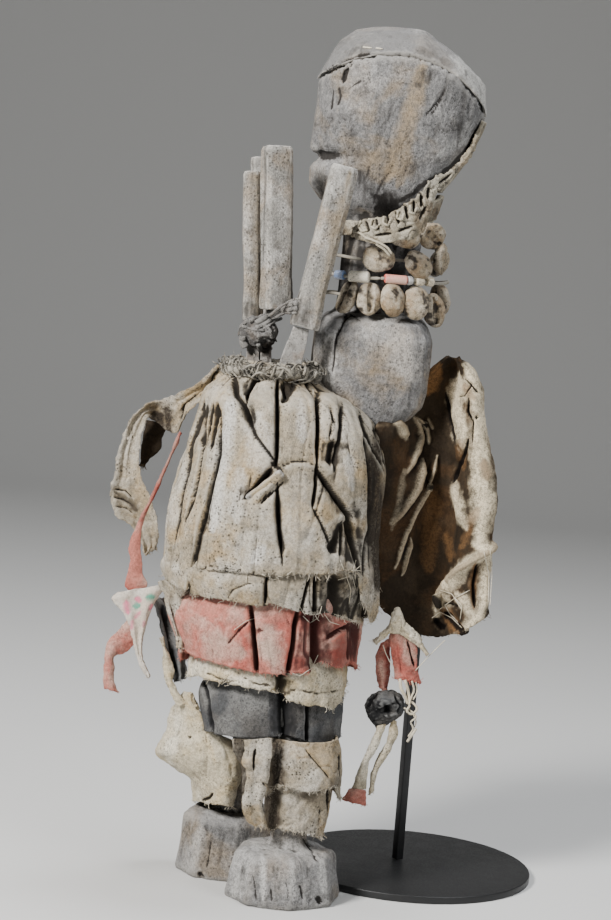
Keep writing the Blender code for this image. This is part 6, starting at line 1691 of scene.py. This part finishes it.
        "chalkAndPaintedLight": ((8, 0.9, (438, 366, 428, 392)), (9, 0.45, (432, 490, 430, 570)),
            (5, 0.6, (446, 535, 450, 560)), (6, 0.6, (484, 460, 488, 480)),
            (5, 0.5, (478, 508, 470, 530, 462, 548)), (5, 0.5, (466, 385, 474, 400)),
            (3.5, 0.9, (475, 562, 472, 585, 474, 609)), (6, 0.9, (445, 610, 458, 634)),
            (4, 0.5, (458, 440, 462, 470))),
        "fringe": (40, 0.001, 0.005, 0.4, 0.00014),
    },
    # The collar's stitched edge, which is leather and no sheet of cloth
    "collarEdge": {
        "finish": "leather", "size": (330, 44), "bow": 1.5, "ragged": 2.4, "fine": 0.9, "thickness": 0.0016,
        "rows": ((352, 229, 353, 238, 12), (361, 221, 363, 241, 24), (372, 219, 375, 243, 30),
            (384, 216, 388, 242, 34), (396, 210, 402, 240, 35), (408, 203, 413, 239, 34),
            (419, 196, 421, 234, 31), (428, 184, 431, 214, 26), (436, 177, 439, 191, 20),
            (449, 170, 453, 177, 12), (461, 159, 466, 163, 7), (469, 148, 474, 151, 4),
            (475, 134, 480, 137, 1)),
        "slits": [(2.4, 1.5, 0.8, path) for path in ((365, 221, 368, 232), (375, 218, 378, 230),
            (386, 214, 389, 227), (396, 210, 399, 224), (405, 205, 408, 219), (414, 200, 415, 214),
            (422, 193, 422, 207), (430, 186, 429, 199), (374, 236, 392, 234), (398, 232, 414, 226),
            (420, 220, 428, 206), (440, 184, 452, 174))],
        "creases": ((0.0008, 0.006, level),),
    },
}
# The narrowest sheet that can be declared, and the width below which a strip's length makes up for it
flatRule = {"least": 0.010, "narrow": 0.0075}


def drawnCloth(name, look, seed):
    look = {**rag, **look, "seed": seed, "nodes": [look["node"]] if "node" in look else []}
    rows = np.array(look["rows"], float)
    middles = (rows[:, :2] + rows[:, 2:4]) / 2
    run = np.r_[0, np.cumsum(np.linalg.norm(np.diff(middles, axis=0), axis=1))]
    high, wide = look["size"]
    read = [line[:, None] for line in smoothRows(np.c_[run, rows], np.linspace(0, run[-1], high))]
    goesRound = rows.shape[1] == 6 and "outline" not in look
    turn = np.linspace(0, 2 * pi, wide, endpoint=False)[None, :]
    share = (1 - np.cos(turn)) / 2 if goesRound else np.linspace(0, 1, wide)[None, :]
    if "outline" in look:
        outline = np.array(look["outline"], float)
        steps = np.diff(outline * look["outlineScale"], axis=0)
        reach = np.r_[0, np.cumsum(np.linalg.norm(steps, axis=1))]
        share, bulge = smoothRows(np.c_[reach, outline], np.linspace(0, reach[-1], wide))
        share, bulge = share[None, :], bulge[None, :]
    left, right = np.stack(read[0:2], -1), np.stack(read[2:4], -1)
    pixels = left + (right - left) * share[..., None]
    spots = np.c_[pixels.reshape(-1, 2), np.zeros(high * wide)]
    tear = (cloud(spots, 7.0, seed) + 0.7 * cloud(spots, 2.5, seed + 3)).reshape(high, wide) * look["ragged"]
    across = (right - left) / np.maximum(np.linalg.norm(right - left, axis=2), 1e-6)[..., None]
    pixels = pixels + across * (tear * np.sign(share - 0.5) * np.abs(2 * share - 1) ** 5)[..., None]
    freeEnd = np.clip(1 - np.arange(high)[:, None] / 5, 0, 1)
    tear = 1.6 * look["ragged"] * cloud(spots, 3.5, seed + 5).reshape(high, wide) * freeEnd
    pixels = pixels + np.array((0, 1.0)) * tear[..., None]
    low = np.clip(1 - np.linspace(0, 4, high), 0, 1)[:, None]
    sag = look["bag"] * low * np.sin(pi * np.clip(share, 0, 1)) ** 0.8
    pixels = pixels + np.array((0, 1.0)) * sag[..., None]
    number, depth = look["pleats"]
    if goesRound:
        side = read[4] + read[5] * np.sin(turn) + look["lean"] * share
    elif "outline" in look:
        side = read[4] + bulge + read[5] * np.clip(1 - (share / look["gather"]) ** 2, 0, 1)
    else:
        pleat = depth * np.sin(2 * pi * number * share + 0.02 * run[-1] * freeEnd)
        side = read[4] + look["bow"] * np.sin(pi * share) + pleat
    places = inPlane(pixels, side)
    look["crumple"] = [(height * look["fine"], size, stretch) for height, size, stretch in look["crumple"]]
    if look["nodes"]:
        broad, long = (pathLengths(places, axis).take(-1, axis).mean() for axis in (1, 0))
        flat = (max(flatRule["least"], broad), long * min(1, broad / flatRule["narrow"]))
        flat = tuple(float(np.round(length, 3)) for length in flat)
        look["sheet"] = (flat, "gathered" if goesRound else look["held"], look["under"])
    behind = places.mean((0, 1)) - (0 if goesRound else 0.3) * sideWay
    return clothGrid(name, places, goesRound, look, behind)


pieces = {name: ringCloth(name, look) for name, look in ringCloths.items()}
for seed, (name, look) in enumerate(drawnCloths.items(), 40):
    pieces[name] = drawnCloth(name, look, seed)
print("hanging cloths are made:", len(pieces))
for seed, (name, row) in enumerate(weathered.items(), 1):
    pieces[name] = makeWeathered(name, *row, seed)
print("weathered pieces are made:", len(pieces))
placeShells()
makeStrings()
makeTie()
makeStand()
makeThreads()
makeLacing()
makeResinFibres()
print("necklace, tie, stand and threads are made")
